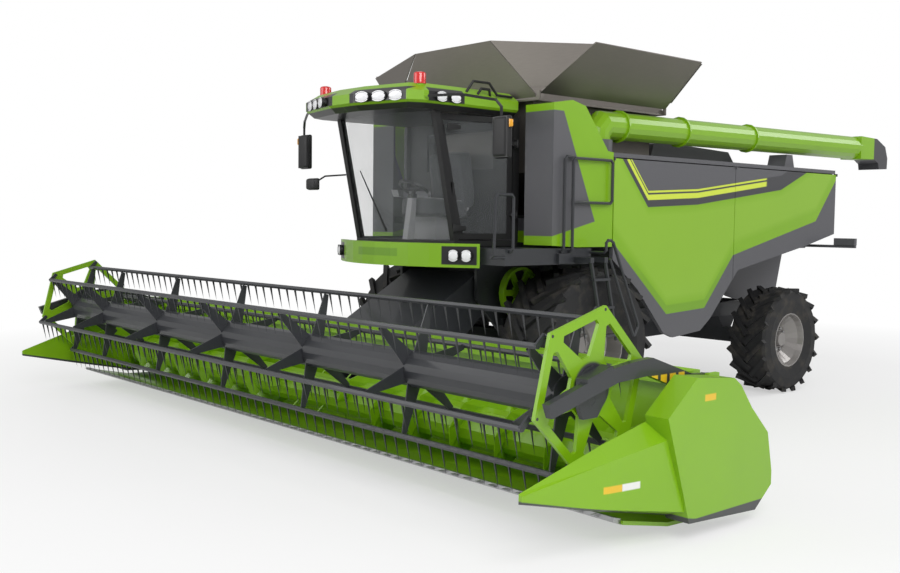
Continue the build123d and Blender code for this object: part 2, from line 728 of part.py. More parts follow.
# ---------------------------------------------------------------- unloading tube
TUBE_FACINGS = ((0, 0, 1), (-0.4, 0, 0.9), (-0.93, 0, 0.37), (-1, 0, 0.01))
FLANGE_R = 195
SPOUT_HALF_WIDTH = 168
with BuildPart() as unloader_tube:
    route = [
        Vector(ahead(UNLOADER_X), UNLOADER_Y, UNLOADER_FLOOR),
        Vector(ahead(UNLOADER_X), UNLOADER_Y, 3400),
        Vector(ahead(UNLOADER_X - 95), UNLOADER_Y, 3487),
        Vector(ahead(UNLOADER_END_X), UNLOADER_Y, 3550),
    ]
    turns = [2 * pi * (index + 0.5) / ROUND_FACETS for index in range(ROUND_FACETS)]
    rings = []
    for place, facing in zip(route, TUBE_FACINGS):
        ring = Plane(place, x_dir=(0, 1, 0), z_dir=facing)
        spots = [Vector(UNLOADER_R * cos(turn), UNLOADER_R * sin(turn), 0) for turn in turns]
        rings.append([ring.from_local_coords(spot) for spot in spots])
    skinned(rings)
    run = (route[3] - route[2]).normalized()
    for x in (-690, -1900, -3450):
        share = (ahead(x) - route[2].X) / (route[3].X - route[2].X)
        place = Plane(route[2] + (route[3] - route[2]) * share, x_dir=(0, 1, 0), z_dir=run)
        with BuildSketch(place) as flange:
            RegularPolygon(FLANGE_R, ROUND_FACETS)
        extrude(flange.sketch, amount=24)
    spout = [
        (UNLOADER_END_X + 60, 3725),
        (-6900, 3712),
        (-7180, 3600),
        (-7265, 3420),
        (-7255, 3250),
        (-6985, 3235),
        (-6960, 3330),
        (-6830, 3385),
        (UNLOADER_END_X + 60, 3375),
    ]
    mouth = [
        (-6800, 3680),
        (-6890, 3682),
        (-7155, 3580),
        (-7235, 3415),
        (-7225, 3200),
        (-7015, 3200),
        (-6990, 3350),
        (-6840, 3415),
    ]
    side_plate(spout, UNLOADER_Y - SPOUT_HALF_WIDTH, UNLOADER_Y + SPOUT_HALF_WIDTH)
    wall = SPOUT_HALF_WIDTH - 12
    side_plate(mouth, UNLOADER_Y - wall, UNLOADER_Y + wall, mode=Mode.SUBTRACT)
unloader_tube.part.label = "unloader_tube"
export_step(unloader_tube.part, "parts/unloader_tube.step")

# ---------------------------------------------------------------- cab
SILL = 2140
PILLAR_LEAN = (1740 - 1440) / (CAB_TOP - CAB_FLOOR_TOP)
A_PILLAR_X = 1440
A_PILLAR_DEPTH = 70
A_PILLAR_Y = (830, 900)
B_PILLAR_X = (610, 705)
WINDSHIELD_BULGE = 200

with BuildPart() as cab_shell:
    floor = [
        (CAB_REAR_X + 10, -CAB_HALF_WIDTH),
        (720, -CAB_HALF_WIDTH),
        (A_PILLAR_X + 70, -900),
        (1640, -500),
        (1690, 0),
        (1640, 500),
        (A_PILLAR_X + 70, 900),
        (720, CAB_HALF_WIDTH),
        (CAB_REAR_X + 10, CAB_HALF_WIDTH),
    ]
    plan_plate(floor, CAB_FLOOR_BOTTOM, CAB_FLOOR_TOP)
    top_shift = PILLAR_LEAN * (CAB_TOP - CAB_FLOOR_TOP)
    pillar = [
        (A_PILLAR_X, CAB_FLOOR_TOP),
        (A_PILLAR_X + A_PILLAR_DEPTH, CAB_FLOOR_TOP),
        (A_PILLAR_X + A_PILLAR_DEPTH + top_shift, CAB_TOP),
        (A_PILLAR_X + top_shift, CAB_TOP),
    ]
    side_pair(pillar, *A_PILLAR_Y)
    block_pair(*B_PILLAR_X, 925, CAB_HALF_WIDTH, CAB_FLOOR_TOP, CAB_TOP)
    block(CAB_REAR_X + 10, CAB_REAR_X + 50, -925, 925, CAB_FLOOR_TOP, CAB_TOP)
    block(CAB_REAR_X, CAB_REAR_X + 60, -600, 600, 2950, 3400, mode=Mode.SUBTRACT)
    # Door hinge brackets and pins on the left B pillar.
    for z in DOOR_HINGES:
        for low, high in ((z - 46, z - 20 - RUN_GAP), (z + 20 + RUN_GAP, z + 46)):
            block(DOOR_HINGE_X - 14, DOOR_HINGE_X + 14, CAB_HALF_WIDTH, DOOR_HINGE_Y + 10, low, high)
        post(DOOR_HINGE_X, DOOR_HINGE_Y, DOOR_PIN_R, z - 46, z + 46)
    plan_plate([(720, -975), (1430, -897), (1430, -840), (720, -925)], CAB_FLOOR_TOP, SILL)
cab_shell.part.label = "cab_shell"
export_step(cab_shell.part, "parts/cab_shell.step")

door_run = Vector(A_PILLAR_X - B_PILLAR_X[1], -110, 0)
door_cosine = door_run.X / door_run.length
door_plane = Plane(
    (ahead(B_PILLAR_X[1]), 970, 0),
    x_dir=door_run,
    z_dir=door_run.normalized().cross(Vector(0, 0, 1)),
)
DOOR_THICKNESS = 36
DOOR_FRAME = 62


def door_outline(inset):
    """The door's corners in its own plane, drawn in from the edge by a frame's width."""
    front_low = door_run.length - 12 / door_cosine
    lean = PILLAR_LEAN / door_cosine
    low, high = SILL + inset, CAB_TOP - 18 - inset
    rear = 16 + inset
    return [
        (rear, low),
        (front_low + lean * (low - CAB_FLOOR_TOP) - inset * 1.05, low),
        (front_low + lean * (high - CAB_FLOOR_TOP) - inset * 1.05, high),
        (rear, high),
    ]


def cab_side(inset, thickness, mode=Mode.ADD):
    """A sheet in the door's plane."""
    with BuildSketch(door_plane) as outline:
        with BuildLine():
            Polyline(*door_outline(inset), close=True)
        make_face()
    extrude(outline.sketch, amount=thickness / 2, both=True, mode=mode)


with BuildPart() as cab_door:
    cab_side(0, DOOR_THICKNESS)
    cab_side(DOOR_FRAME, DOOR_THICKNESS + 20, mode=Mode.SUBTRACT)
    for z in DOOR_HINGES:
        block(DOOR_HINGE_X - 2, DOOR_HINGE_X + 62, 992, DOOR_HINGE_Y + 6, z - 20, z + 20)
        block(DOOR_HINGE_X + 22, DOOR_HINGE_X + 62, 965, 992, z - 20, z + 20)
        post(DOOR_HINGE_X, DOOR_HINGE_Y, DOOR_PIN_R + 9, z - 20, z + 20, facets=12)
    for z in DOOR_HINGES:
        post(
            DOOR_HINGE_X,
            DOOR_HINGE_Y,
            DOOR_PIN_R + RUN_GAP,
            z - 30,
            z + 30,
            mode=Mode.SUBTRACT,
        )
    with BuildSketch(door_plane) as grip:
        with Locations((door_run.length + 84, 2700)):
            Rectangle(24, 120)
    extrude(grip.sketch, amount=-DOOR_THICKNESS / 2 - 35)
cab_door.part.label = "cab_door"
export_step(cab_door.part, "parts/cab_door.step")

with BuildPart() as cab_door_glass:
    cab_side(DOOR_FRAME + RUN_GAP, GLASS_THICKNESS)
cab_door_glass.part.label = "cab_door_glass"
export_step(cab_door_glass.part, "parts/cab_door_glass.step")


def windshield_edge(z, offset):
    """Plan line of the windshield's face at a height, through its two ends and its crown."""
    x = A_PILLAR_X + 30 + PILLAR_LEAN * (z - CAB_FLOOR_TOP) + offset
    half = A_PILLAR_Y[0] - RUN_GAP
    return (ahead(x), -half), (ahead(x + WINDSHIELD_BULGE), 0), (ahead(x), half)


with BuildPart() as cab_glass:
    sections = []
    for z in (CAB_FLOOR_TOP + RUN_GAP, CAB_TOP - RUN_GAP):
        front, back = windshield_edge(z, GLASS_THICKNESS), windshield_edge(z, 0)
        with BuildSketch(Plane.XY.offset(z)) as section:
            with BuildLine():
                ThreePointArc(*front)
                Line(front[2], back[2])
                ThreePointArc(*back)
                Line(back[0], front[0])
            make_face()
        sections.append(section.sketch)
    loft(sections, ruled=True)
    with BuildPart(mode=Mode.PRIVATE) as right_pane:
        cab_side(0, GLASS_THICKNESS + 10)
    add(mirror(right_pane.part, about=Plane.XZ, mode=Mode.PRIVATE))
    block(
        CAB_REAR_X + 26,
        CAB_REAR_X + 34,
        -600 + RUN_GAP,
        600 - RUN_GAP,
        2950 + RUN_GAP,
        3400 - RUN_GAP,
    )
cab_glass.part.label = "cab_glass"
export_step(cab_glass.part, "parts/cab_glass.step")

ROOF_SECTIONS = (
    # (height, how far in from the widest outline)
    (CAB_TOP, 70),
    (3600, 0),
    (3700, 0),
    (3790, 110),
)
with BuildPart() as cab_roof:
    layers = []
    for z, inset in ROOF_SECTIONS:
        side_y = 1030 - inset
        outline = [
            (650 + inset / 3, -side_y + 30),
            (1500, -side_y),
            (2060 - inset, -side_y + 10),
            (2230 - inset, -side_y + 90),
            (2400 - 1.4 * inset, -230),
            (2400 - 1.4 * inset, 230),
            (2230 - inset, side_y - 90),
            (2060 - inset, side_y - 10),
            (1500, side_y),
            (650 + inset / 3, side_y - 30),
        ]
        layers.append([Vector(ahead(x), y, z) for x, y in outline])
    skinned(layers)
    # Work lamps in the visor and on the roof's sides, and a beacon at each front corner.
    for sign in SIDES.values():
        out = Vector(0.948, sign * 0.318, 0).normalized()
        across = Vector(-out.Y, out.X, 0) * sign
        corner = Vector(ahead(2315), sign * 585, 3650)
        for step in (-215, 0, 215):
            place = Plane(corner + across * step, x_dir=across, z_dir=out)
            with BuildSketch(place.offset(-40)) as lamp:
                with BuildLine():
                    Polyline(oval(88, 50), close=True)
                make_face()
            extrude(lamp.sketch, amount=56)
        for x in (1840, 1640):
            place = Plane((ahead(x), sign * 1020, 3650), x_dir=(1, 0, 0), z_dir=(0, sign, 0))
            with BuildSketch(place) as lamp:
                with BuildLine():
                    Polyline(oval(75, 48), close=True)
                make_face()
            extrude(lamp.sketch, amount=22)
        post(2000, sign * 870, 60, 3700, 3890, facets=12)
        arm = [(2060, sign * 990, 3640), (1900, sign * 1400, 3640), (1690, sign * 1795, 3560)]
        arm.append((1690, sign * 1795, 3380))
        rail(arm, 16, 60)
        ends = sorted((sign * 1690, sign * 1900))
        block(1660, 1710, *ends, 2990, 3400)
cab_roof.part.label = "cab_roof"
export_step(cab_roof.part, "parts/cab_roof.step")

BUMPER_HALF = 1277
BUMPER_BACK_X = 1478
BUMPER_FRONT_X = 1920
BUMPER_DEPTH = 150
BUMPER_Z = (1835, 2095)
BUMPER_STEPS = 5
with BuildPart() as bumper:
    front, back = [], []
    for index in range(-BUMPER_STEPS, BUMPER_STEPS + 1):
        share = index / BUMPER_STEPS
        bow = (BUMPER_FRONT_X - BUMPER_BACK_X) * share**2
        front.append((BUMPER_FRONT_X - bow, BUMPER_HALF * share))
        back.append((BUMPER_FRONT_X - BUMPER_DEPTH - bow * 0.73, (BUMPER_HALF - 60) * share))
    plan_plate(front + back[::-1], BUMPER_Z[0], BUMPER_Z[1])
    block_pair(1000, BUMPER_FRONT_X - BUMPER_DEPTH + 40, 280, 340, 1990, CAB_FLOOR_BOTTOM)
    for sign in SIDES.values():
        for x, y in ((1632, 1035), (1560, 1165)):
            out = Vector(0.87, sign * 0.49, 0)
            place = Plane((ahead(x), sign * y, 1965), x_dir=(-out.Y, out.X, 0), z_dir=out)
            with BuildSketch(place) as lamp:
                RegularPolygon(56, 12)
            extrude(lamp.sketch, amount=24)
bumper.part.label = "bumper"
export_step(bumper.part, "parts/bumper.step")

SEAT_X = 1000
with BuildPart() as cab_interior:
    block(SEAT_X - 180, SEAT_X + 180, -200, 200, CAB_FLOOR_TOP, 2420)
    cushion = [
        (SEAT_X - 220, 2420),
        (SEAT_X + 270, 2420),
        (SEAT_X + 290, 2500),
        (SEAT_X + 240, 2540),
        (SEAT_X - 160, 2520),
        (SEAT_X - 230, 3080),
        (SEAT_X - 320, 3080),
        (SEAT_X - 300, 2480),
    ]
    side_plate(cushion, -250, 250)
    side_plate([(860, 2600), (1350, 2620), (1380, 2700), (860, 2690)], -390, -270)
    block(900, 1000, -350, -290, CAB_FLOOR_TOP, 2610)
    block(900, 1000, -300, -180, 2300, 2400)
    side_plate(
        [(1380, CAB_FLOOR_TOP), (1480, CAB_FLOOR_TOP), (1400, 2650), (1340, 2650)], -45, 45
    )
    wheel = Plane((ahead(1350), 0, 2690), x_dir=(0, 1, 0), z_dir=(-0.5, 0, 0.87))
    with BuildSketch(wheel) as ring:
        RegularPolygon(205, 16)
        RegularPolygon(178, 16, mode=Mode.SUBTRACT)
        Rectangle(370, 40)
    extrude(ring.sketch, amount=26)
    rod((1362, 0, 2620), (1350, 0, 2700), 28, facets=8)
cab_interior.part.label = "cab_interior"
export_step(cab_interior.part, "parts/cab_interior.step")

# ---------------------------------------------------------------- platform, rails and ladder
PLATFORM_FRONT_X = 1420
PLATFORM_REAR_X = 40
PLATFORM_Y = (1015, 1600)
PLATFORM_TOP = 2050
LADDER_Y = 1815
with BuildPart() as platform:
    block(PLATFORM_REAR_X, PLATFORM_FRONT_X, *PLATFORM_Y, PLATFORM_TOP - 50, PLATFORM_TOP)
    block(PLATFORM_REAR_X, PLATFORM_FRONT_X, 1570, 1600, 1870, PLATFORM_TOP - 50)
    block(PLATFORM_FRONT_X - 30, PLATFORM_FRONT_X, 1015, 1570, 1870, PLATFORM_TOP - 50)
    block(440, 620, 1600, 1640, 1880, 1990)
    for x in (110, 430, 900):
        block(x, x + 60, CORE_HALF_WIDTH + BRACKET_THICKNESS, 1570, 1940, PLATFORM_TOP - 50)
    block(110, 170, CORE_HALF_WIDTH, CORE_HALF_WIDTH + 60, 1940, 2000)
    # Ladder, folded flat beside the wheel.
    for x in (300, 60):
        block(x - 30, x + 30, 1600, 1845, 1890, 1950)
        rod((x, LADDER_Y, 1940), (x - 240, LADDER_Y, 1000), 24, facets=6)
    for z in (1700, 1380, 1060):
        x = 300 - 240 * (1940 - z) / 940
        block(x - 260, x + 20, LADDER_Y - 30, LADDER_Y + 30, z - 14, z + 14)
platform.part.label = "platform"
export_step(platform.part, "parts/platform.step")

RAIL_R = 17
with BuildPart() as handrails:
    front_loop = [
        (1360, 1600, 2020),
        (1360, 1660, 2020),
        (1360, 1660, 2620),
        (1620, 1660, 2620),
        (1640, 1660, 1960),
        (1640, 1585, 1960),
        (PLATFORM_FRONT_X, 1585, 1960),
    ]
    rail(front_loop, RAIL_R, 30)
    for x, end_x, end_z in ((430, -240, 3050), (570, 440, 3060)):
        post_rail = [(x, 1600, 2015), (x, 1660, 2015), (x, 1660, end_z), (end_x, 1660, end_z)]
        if end_x < 0:
            post_rail += [(end_x, 1660, 2560), (x, 1660, 2560)]
        rail(post_rail, RAIL_R, 30)
    hairpin = [
        (50, 1600, 2000),
        (50, LADDER_Y + 15, 2000),
        (50, LADDER_Y + 15, 2140),
        (-60, LADDER_Y + 15, 2140),
        (-560, LADDER_Y + 15, 1150),
        (-480, LADDER_Y + 15, 1010),
        (-20, LADDER_Y + 15, 1930),
    ]
    rail(hairpin, RAIL_R, 30)
handrails.part.label = "handrails"
export_step(handrails.part, "parts/handrails.step")

PULLEY_R = 300
PULLEY_WIDTH = 80
with BuildPart() as drive_pulley:
    place = Plane((ahead(PULLEY[0]), PULLEY_Y, PULLEY[1]), x_dir=(1, 0, 0), z_dir=(0, 1, 0))
    with BuildSketch(place) as face:
        RegularPolygon(PULLEY_R, 24)
        RegularPolygon(PULLEY_R - 34, 24, mode=Mode.SUBTRACT)
    extrude(face.sketch, amount=PULLEY_WIDTH)
    with BuildSketch(place.offset(20)) as web:
        with PolarLocations(165, 6):
            Rectangle(230, 70)
        RegularPolygon(110, 12)
    extrude(web.sketch, amount=30)
    cross_shaft(PULLEY, PULLEY_SHAFT_R + RUN_GAP, PULLEY_Y - 20, PULLEY_Y + 100, mode=Mode.SUBTRACT)
drive_pulley.part.label = "drive_pulley"
export_step(drive_pulley.part, "parts/drive_pulley.step")

# ---------------------------------------------------------------- feeder house and its cylinders
FEEDER_FRONT_X = 2145
with BuildPart() as feeder_house:
    shell = [
        (680, 1690),
        (900, 1740),
        (FEEDER_FRONT_X, 1000),
        (FEEDER_FRONT_X, 190),
        (1800, 392),
        (740, 1310),
        (660, 1450),
    ]
    inside = [
        (1250, 1440),
        (FEEDER_FRONT_X + 20, 935),
        (FEEDER_FRONT_X + 20, 240),
        (1825, 415),
        (1250, 915),
    ]
    side_plate(shell, -FEEDER_HALF_WIDTH, FEEDER_HALF_WIDTH)
    side_plate(inside, -FEEDER_HALF_WIDTH + 30, FEEDER_HALF_WIDTH - 30, mode=Mode.SUBTRACT)
    for sign in SIDES.values():
        ends = sorted((sign * FEEDER_HALF_WIDTH, sign * (RAIL_INNER_Y + BRACKET_THICKNESS)))
        cross_shaft(FEEDER_PIVOT, FEEDER_PIN_R, *ends)
    lug = [(1480, 640), (1620, 540), (1620, 500), (1500, 480), (1440, 690)]
    side_pair(lug, LIFT_Y - 70, LIFT_Y - 50)
    side_pair(lug, LIFT_Y + 50, LIFT_Y + 70)
feeder_house.part.label = "feeder_house"
export_step(feeder_house.part, "parts/feeder_house.step")

lift_line = Vector(LIFT_EYE[0] - LIFT_BASE[0], 0, LIFT_EYE[1] - LIFT_BASE[1])
LIFT_BARREL_LENGTH = 860
LIFT_ROD_START = 190


def on_lift_line(distance, y):
    """A place on a lift cylinder's axis, so far from its base pin."""
    run = lift_line.normalized() * distance
    return (LIFT_BASE[0] + run.X, y, LIFT_BASE[1] + run.Z)


with BuildPart() as lift_barrels:
    for y in (LIFT_Y, -LIFT_Y):
        rod(on_lift_line(30, y), on_lift_line(LIFT_BARREL_LENGTH, y), LIFT_BARREL_R, facets=16)
        half = LIFT_EYE_WIDTH / 2 - RUN_GAP
        cross_shaft(LIFT_BASE, LIFT_BARREL_R - 5, y - half, y + half, facets=12)
    for y in (LIFT_Y, -LIFT_Y):
        rod(
            on_lift_line(LIFT_ROD_START - 90, y),
            on_lift_line(LIFT_BARREL_LENGTH + 10, y),
            LIFT_ROD_R + RUN_GAP,
            mode=Mode.SUBTRACT,
        )
        cross_shaft(LIFT_BASE, LIFT_PIN_R + RUN_GAP, y - 60, y + 60, mode=Mode.SUBTRACT)
lift_barrels.part.label = "lift_barrels"
export_step(lift_barrels.part, "parts/lift_barrels.step")

with BuildPart() as lift_rods:
    for y in (LIFT_Y, -LIFT_Y):
        rod(on_lift_line(LIFT_ROD_START, y), on_lift_line(lift_line.length - 20, y), LIFT_ROD_R)
        cross_shaft(LIFT_EYE, LIFT_EYE_R, y - 24, y + 24, facets=12)
lift_rods.part.label = "lift_rods"
export_step(lift_rods.part, "parts/lift_rods.step")

# ---------------------------------------------------------------- header
HEADER_BACK_X = 2160
HEADER_SKIN = 40
THROAT_HALF_WIDTH = 560
THROAT_HEIGHTS = (230, 900)
TOP_BEAM = (2130, 2270, 1050, 1180)  # x from and to, z from and to
SHIELD_Y = 4740
KNIFE_X = 3285
REEL_PIVOT = (2200, 1115)
REEL_PIVOT_R = 30

HEADER_HALF = SHIELD_Y - RUN_GAP

with BuildPart() as header_floor:
    trough = [
        (HEADER_BACK_X + HEADER_SKIN, 70),
        (2360, 55),
        (2750, 68),
        (KNIFE_X, 180),
        (KNIFE_X, 210),
        (2750, 98),
        (2360, 85),
        (HEADER_BACK_X + HEADER_SKIN, 100),
    ]
    side_plate(trough, -HEADER_HALF, HEADER_HALF)
header_floor.part.label = "header_floor"
export_step(header_floor.part, "parts/header_floor.step")

with BuildPart() as header_frame:
    beam_x_from, beam_x_to, beam_z_from, beam_z_to = TOP_BEAM
    back = [
        (HEADER_BACK_X, 70),
        (HEADER_BACK_X + HEADER_SKIN, 70),
        (HEADER_BACK_X + HEADER_SKIN, beam_z_from),
        (HEADER_BACK_X, beam_z_from),
    ]
    side_plate(back, -HEADER_HALF, HEADER_HALF)
    block(
        HEADER_BACK_X - 20,
        HEADER_BACK_X + HEADER_SKIN + 20,
        -THROAT_HALF_WIDTH,
        THROAT_HALF_WIDTH,
        *THROAT_HEIGHTS,
        mode=Mode.SUBTRACT,
    )
    block(beam_x_from, beam_x_to, -4560, 4560, beam_z_from, beam_z_to)
    block_pair(HEADER_BACK_X, HEADER_BACK_X + HEADER_SKIN, 4560, HEADER_HALF, 1000, beam_z_from)
    block_pair(beam_x_from, beam_x_to, 4700, HEADER_HALF, beam_z_from - 60, beam_z_to)
    for sign in SIDES.values():
        ends = sorted((sign * 4560, sign * 4700))
        cross_shaft(REEL_PIVOT, REEL_PIVOT_R, *ends)
    # Face plate that meets the feeder house's mouth, around the throat.
    block_pair(FEEDER_FRONT_X, HEADER_BACK_X, THROAT_HALF_WIDTH, 660, 200, 1000)
    block(FEEDER_FRONT_X, HEADER_BACK_X, -660, 660, THROAT_HEIGHTS[1], 1000)
    for y in (-3000, -1500, 1500, 3000):
        block(HEADER_BACK_X - 30, HEADER_BACK_X, y - 50, y + 50, 110, beam_z_from)
header_frame.part.label = "header_frame"
export_step(header_frame.part, "parts/header_frame.step")

with BuildPart() as cutterbar:
    knife = [
        (KNIFE_X + RUN_GAP, 178),
        (KNIFE_X + 80, 206),
        (KNIFE_X + 80, 244),
        (KNIFE_X + RUN_GAP, 222),
    ]
    side_plate(knife, -SHIELD_Y + 20, SHIELD_Y - 20)
    first_guard = -GUARD_PITCH * (GUARDS - 1) / 2
    for index in range(GUARDS):
        y = first_guard + GUARD_PITCH * index
        root = [(KNIFE_X + 70, y - 16, 210), (KNIFE_X + 70, y + 16, 210)]
        root += [(KNIFE_X + 70, y + 16, 240), (KNIFE_X + 70, y - 16, 240)]
        point = Vector(ahead(KNIFE_X + 165), y, 250)
        corners = [Vector(ahead(x), side_y, z) for x, side_y, z in root]
        sides = [[corners[k], corners[(k + 1) % 4], point] for k in range(4)]
        add(faceted_solid([corners] + sides))
cutterbar.part.label = "cutterbar"
export_step(cutterbar.part, "parts/cutterbar.step")

SHIELD_DEPTH = 210
AUGER_SHAFT_R = 40
AUGER_BEARING_DEPTH = 60
with BuildPart() as end_shields:
    rear_shield = [
        (1680, 260),
        (1905, 90),
        (2780, 140),
        (3060, 950),
        (2720, 1215),
        (2240, 1170),
        (2145, 1105),
        (1990, 915),
        (1750, 690),
        (1680, 370),
    ]
    side_pair(rear_shield, SHIELD_Y, SHIELD_Y + SHIELD_DEPTH)
    bearing = SHIELD_Y + AUGER_BEARING_DEPTH
    cross_shaft(AUGER_CENTRE, AUGER_SHAFT_R + RUN_GAP, -bearing, bearing, mode=Mode.SUBTRACT)
    # Divider: (ahead, inner y, outer y, low z, high z), from the shield to the point.
    divider = (
        (2780, SHIELD_Y, SHIELD_Y + 190, 160, 960),
        (3550, SHIELD_Y - 25, SHIELD_Y + 90, 320, 775),
        (4255, SHIELD_Y - 95, SHIELD_Y - 65, 478, 548),
    )
    for sign in SIDES.values():
        sections = []
        for x, inner_y, outer_y, low, high in divider:
            outer_low, outer_high = low + 0.08 * (high - low), low + 0.82 * (high - low)
            corners = ((inner_y, low), (outer_y, outer_low), (outer_y, outer_high), (inner_y, high))
            sections.append([Vector(ahead(x), sign * y, z) for y, z in corners])
        skinned(sections)
end_shields.part.label = "end_shields"
export_step(end_shields.part, "parts/end_shields.step")

# ---------------------------------------------------------------- header auger
FLIGHT_STEPS = 8
FLIGHT_THICKNESS = 10
FLIGHT_ROOT_R = AUGER_TUBE_R - 12
FLIGHT_INNER_Y = 640
FLIGHT_OUTER_Y = 4560


def flight(side):
    """One hand of faceted flighting, from the middle's fingers out to the end."""
    turns = (FLIGHT_OUTER_Y - FLIGHT_INNER_Y) / AUGER_PITCH
    steps = round(turns * FLIGHT_STEPS)
    rows = []
    for index in range(steps + 1):
        share = index / steps
        angle = 2 * pi * turns * share
        y = FLIGHT_INNER_Y + (FLIGHT_OUTER_Y - FLIGHT_INNER_Y) * share
        row = []
        for radius in (FLIGHT_ROOT_R, AUGER_FLIGHT_R):
            for shift in (-FLIGHT_THICKNESS / 2, FLIGHT_THICKNESS / 2):
                row.append(
                    Vector(
                        ahead(AUGER_CENTRE[0]) + radius * cos(angle),
                        side * (y + shift),
                        AUGER_CENTRE[1] + radius * sin(angle),
                    )
                )
        rows.append(row)
    faces = [[rows[0][k] for k in (0, 1, 3, 2)], [rows[-1][k] for k in (0, 1, 3, 2)]]
    for low, high in zip(rows, rows[1:]):
        for first, second in ((0, 1), (1, 3), (3, 2), (2, 0)):
            faces.append([low[first], low[second], high[first]])
            faces.append([high[first], low[second], high[second]])
    return faceted_solid(faces)


FINGER_PLACES = ((-480, 20), (-320, 140), (-160, 260), (0, 20), (160, 140), (320, 260), (480, 20))
with BuildPart() as header_auger:
    cross_shaft(AUGER_CENTRE, AUGER_TUBE_R, -AUGER_HALF_LENGTH, AUGER_HALF_LENGTH, facets=12)
    for side in SIDES.values():
        add(flight(side))
    for y, angle in FINGER_PLACES:
        for turn in (0, 180):
            spread = radians(angle + turn)
            root = (AUGER_CENTRE[0] + 150 * cos(spread), y, AUGER_CENTRE[1] + 150 * sin(spread))
            end = (AUGER_CENTRE[0] + 300 * cos(spread), y, AUGER_CENTRE[1] + 300 * sin(spread))
            rod(root, end, 9, facets=4)
    bearing = SHIELD_Y + AUGER_BEARING_DEPTH
    cross_shaft(AUGER_CENTRE, AUGER_SHAFT_R, -bearing + 5, bearing - 5)
header_auger.part.label = "header_auger"
export_step(header_auger.part, "parts/header_auger.step")

# ---------------------------------------------------------------- reel arms and sliding bearings
ARM_SLOPE = -0.28
ARM_SEAT_X = 3350
ARM_SEAT_TOP = 1310
ARM_FRONT_X = 4030


def arm_line(x, below=0):
    """Height of the arm's straight front part, where the reel's bearing slides."""
    return ARM_SEAT_TOP + ARM_SLOPE * (x - ARM_SEAT_X) - below


with BuildPart() as reel_arms:
    arm = [
        (2120, 1075),
        (2120, 1165),
        (2410, 1185),
        (2910, 1350),
        (3120, 1338),
        (ARM_SEAT_X, ARM_SEAT_TOP),
        (ARM_FRONT_X, arm_line(ARM_FRONT_X)),
        (ARM_FRONT_X - 40, arm_line(ARM_FRONT_X - 40, 110)),
        (3300, arm_line(3300, 120)),
        (2950, 1220),
        (2530, 1070),
    ]
    side_pair(arm, ARM_Y, ARM_Y + ARM_THICKNESS)
    for sign in SIDES.values():
        ends = sorted((sign * (ARM_Y - 10), sign * (ARM_Y + ARM_THICKNESS + 8)))
        cross_shaft(REEL_PIVOT, 58, *ends, facets=16)
    cross_shaft(REEL_PIVOT, REEL_PIVOT_R + RUN_GAP, -5000, 5000, mode=Mode.SUBTRACT)
reel_arms.part.label = "reel_arms"
export_step(reel_arms.part, "parts/reel_arms.step")

PLATE_CENTRE = (REEL_CENTRE[0] + CRANK_OFFSET[0], REEL_CENTRE[1] + CRANK_OFFSET[1])
ECCENTRIC_R = 165
ECCENTRIC_FACETS = 24
CARRIAGE_Y = 4585
CARRIAGE_THICKNESS = 38
with BuildPart() as reel_bearings:
    hanger = [
        (3370, arm_line(3370) + 12),
        (3640, arm_line(3640) + 12),
        (3660, 1080),
        (3600, 960),
        (3450, 960),
        (3360, 1080),
    ]
    side_pair(hanger, CARRIAGE_Y, CARRIAGE_Y + CARRIAGE_THICKNESS)
    shoe = [
        (3370, arm_line(3370) + RUN_GAP),
        (3640, arm_line(3640) + RUN_GAP),
        (3640, arm_line(3640) + 26),
        (3370, arm_line(3370) + 26),
    ]
    side_pair(shoe, CARRIAGE_Y, ARM_Y + ARM_THICKNESS)
    for sign in SIDES.values():
        ends = sorted((sign * (REEL_PLATE_Y - 5), sign * CARRIAGE_Y))
        cross_shaft(PLATE_CENTRE, ECCENTRIC_R, *ends, facets=ECCENTRIC_FACETS)
    cross_shaft(REEL_CENTRE, REEL_SHAFT_R + RUN_GAP, -5000, 5000, mode=Mode.SUBTRACT)
reel_bearings.part.label = "reel_bearings"
export_step(reel_bearings.part, "parts/reel_bearings.step")

# ---------------------------------------------------------------- reel
def reel_corner(index, centre=REEL_CENTRE, radius=REEL_R):
    """Place of a bar's axis, or of an end plate's corner, as (ahead, z)."""
    angle = radians(REEL_PHASE + 360 / REEL_BARS * index)
    return centre[0] + radius * cos(angle), centre[1] + radius * sin(angle)


SPIDER_THICKNESS = 12
with BuildPart() as reel_rotor:
    cross_shaft(REEL_CENTRE, REEL_DRUM_R, -REEL_HALF_LENGTH, REEL_HALF_LENGTH, facets=16)
    shaft_end = CARRIAGE_Y + CARRIAGE_THICKNESS
    cross_shaft(REEL_CENTRE, REEL_SHAFT_R, -shaft_end, shaft_end)
    for y in SPIDER_Y:
        place = Plane(
            (ahead(REEL_CENTRE[0]), y, REEL_CENTRE[1]), x_dir=(1, 0, 0), z_dir=(0, -1, 0)
        )
        with BuildSketch(place) as arms:
            for index in range(REEL_BARS):
                angle = REEL_PHASE + 360 / REEL_BARS * index
                tip = REEL_R - REEL_BAR_R - RUN_GAP
                with BuildLine():
                    points = [(100, -75), (tip, -24), (tip, 24), (100, 75)]
                    Polyline(
                        [Vector(x, z).rotate(Axis.Z, angle) for x, z in points], close=True
                    )
                make_face()
        extrude(arms.sketch, amount=SPIDER_THICKNESS / 2, both=True)
reel_rotor.part.label = "reel_rotor"
export_step(reel_rotor.part, "parts/reel_rotor.step")

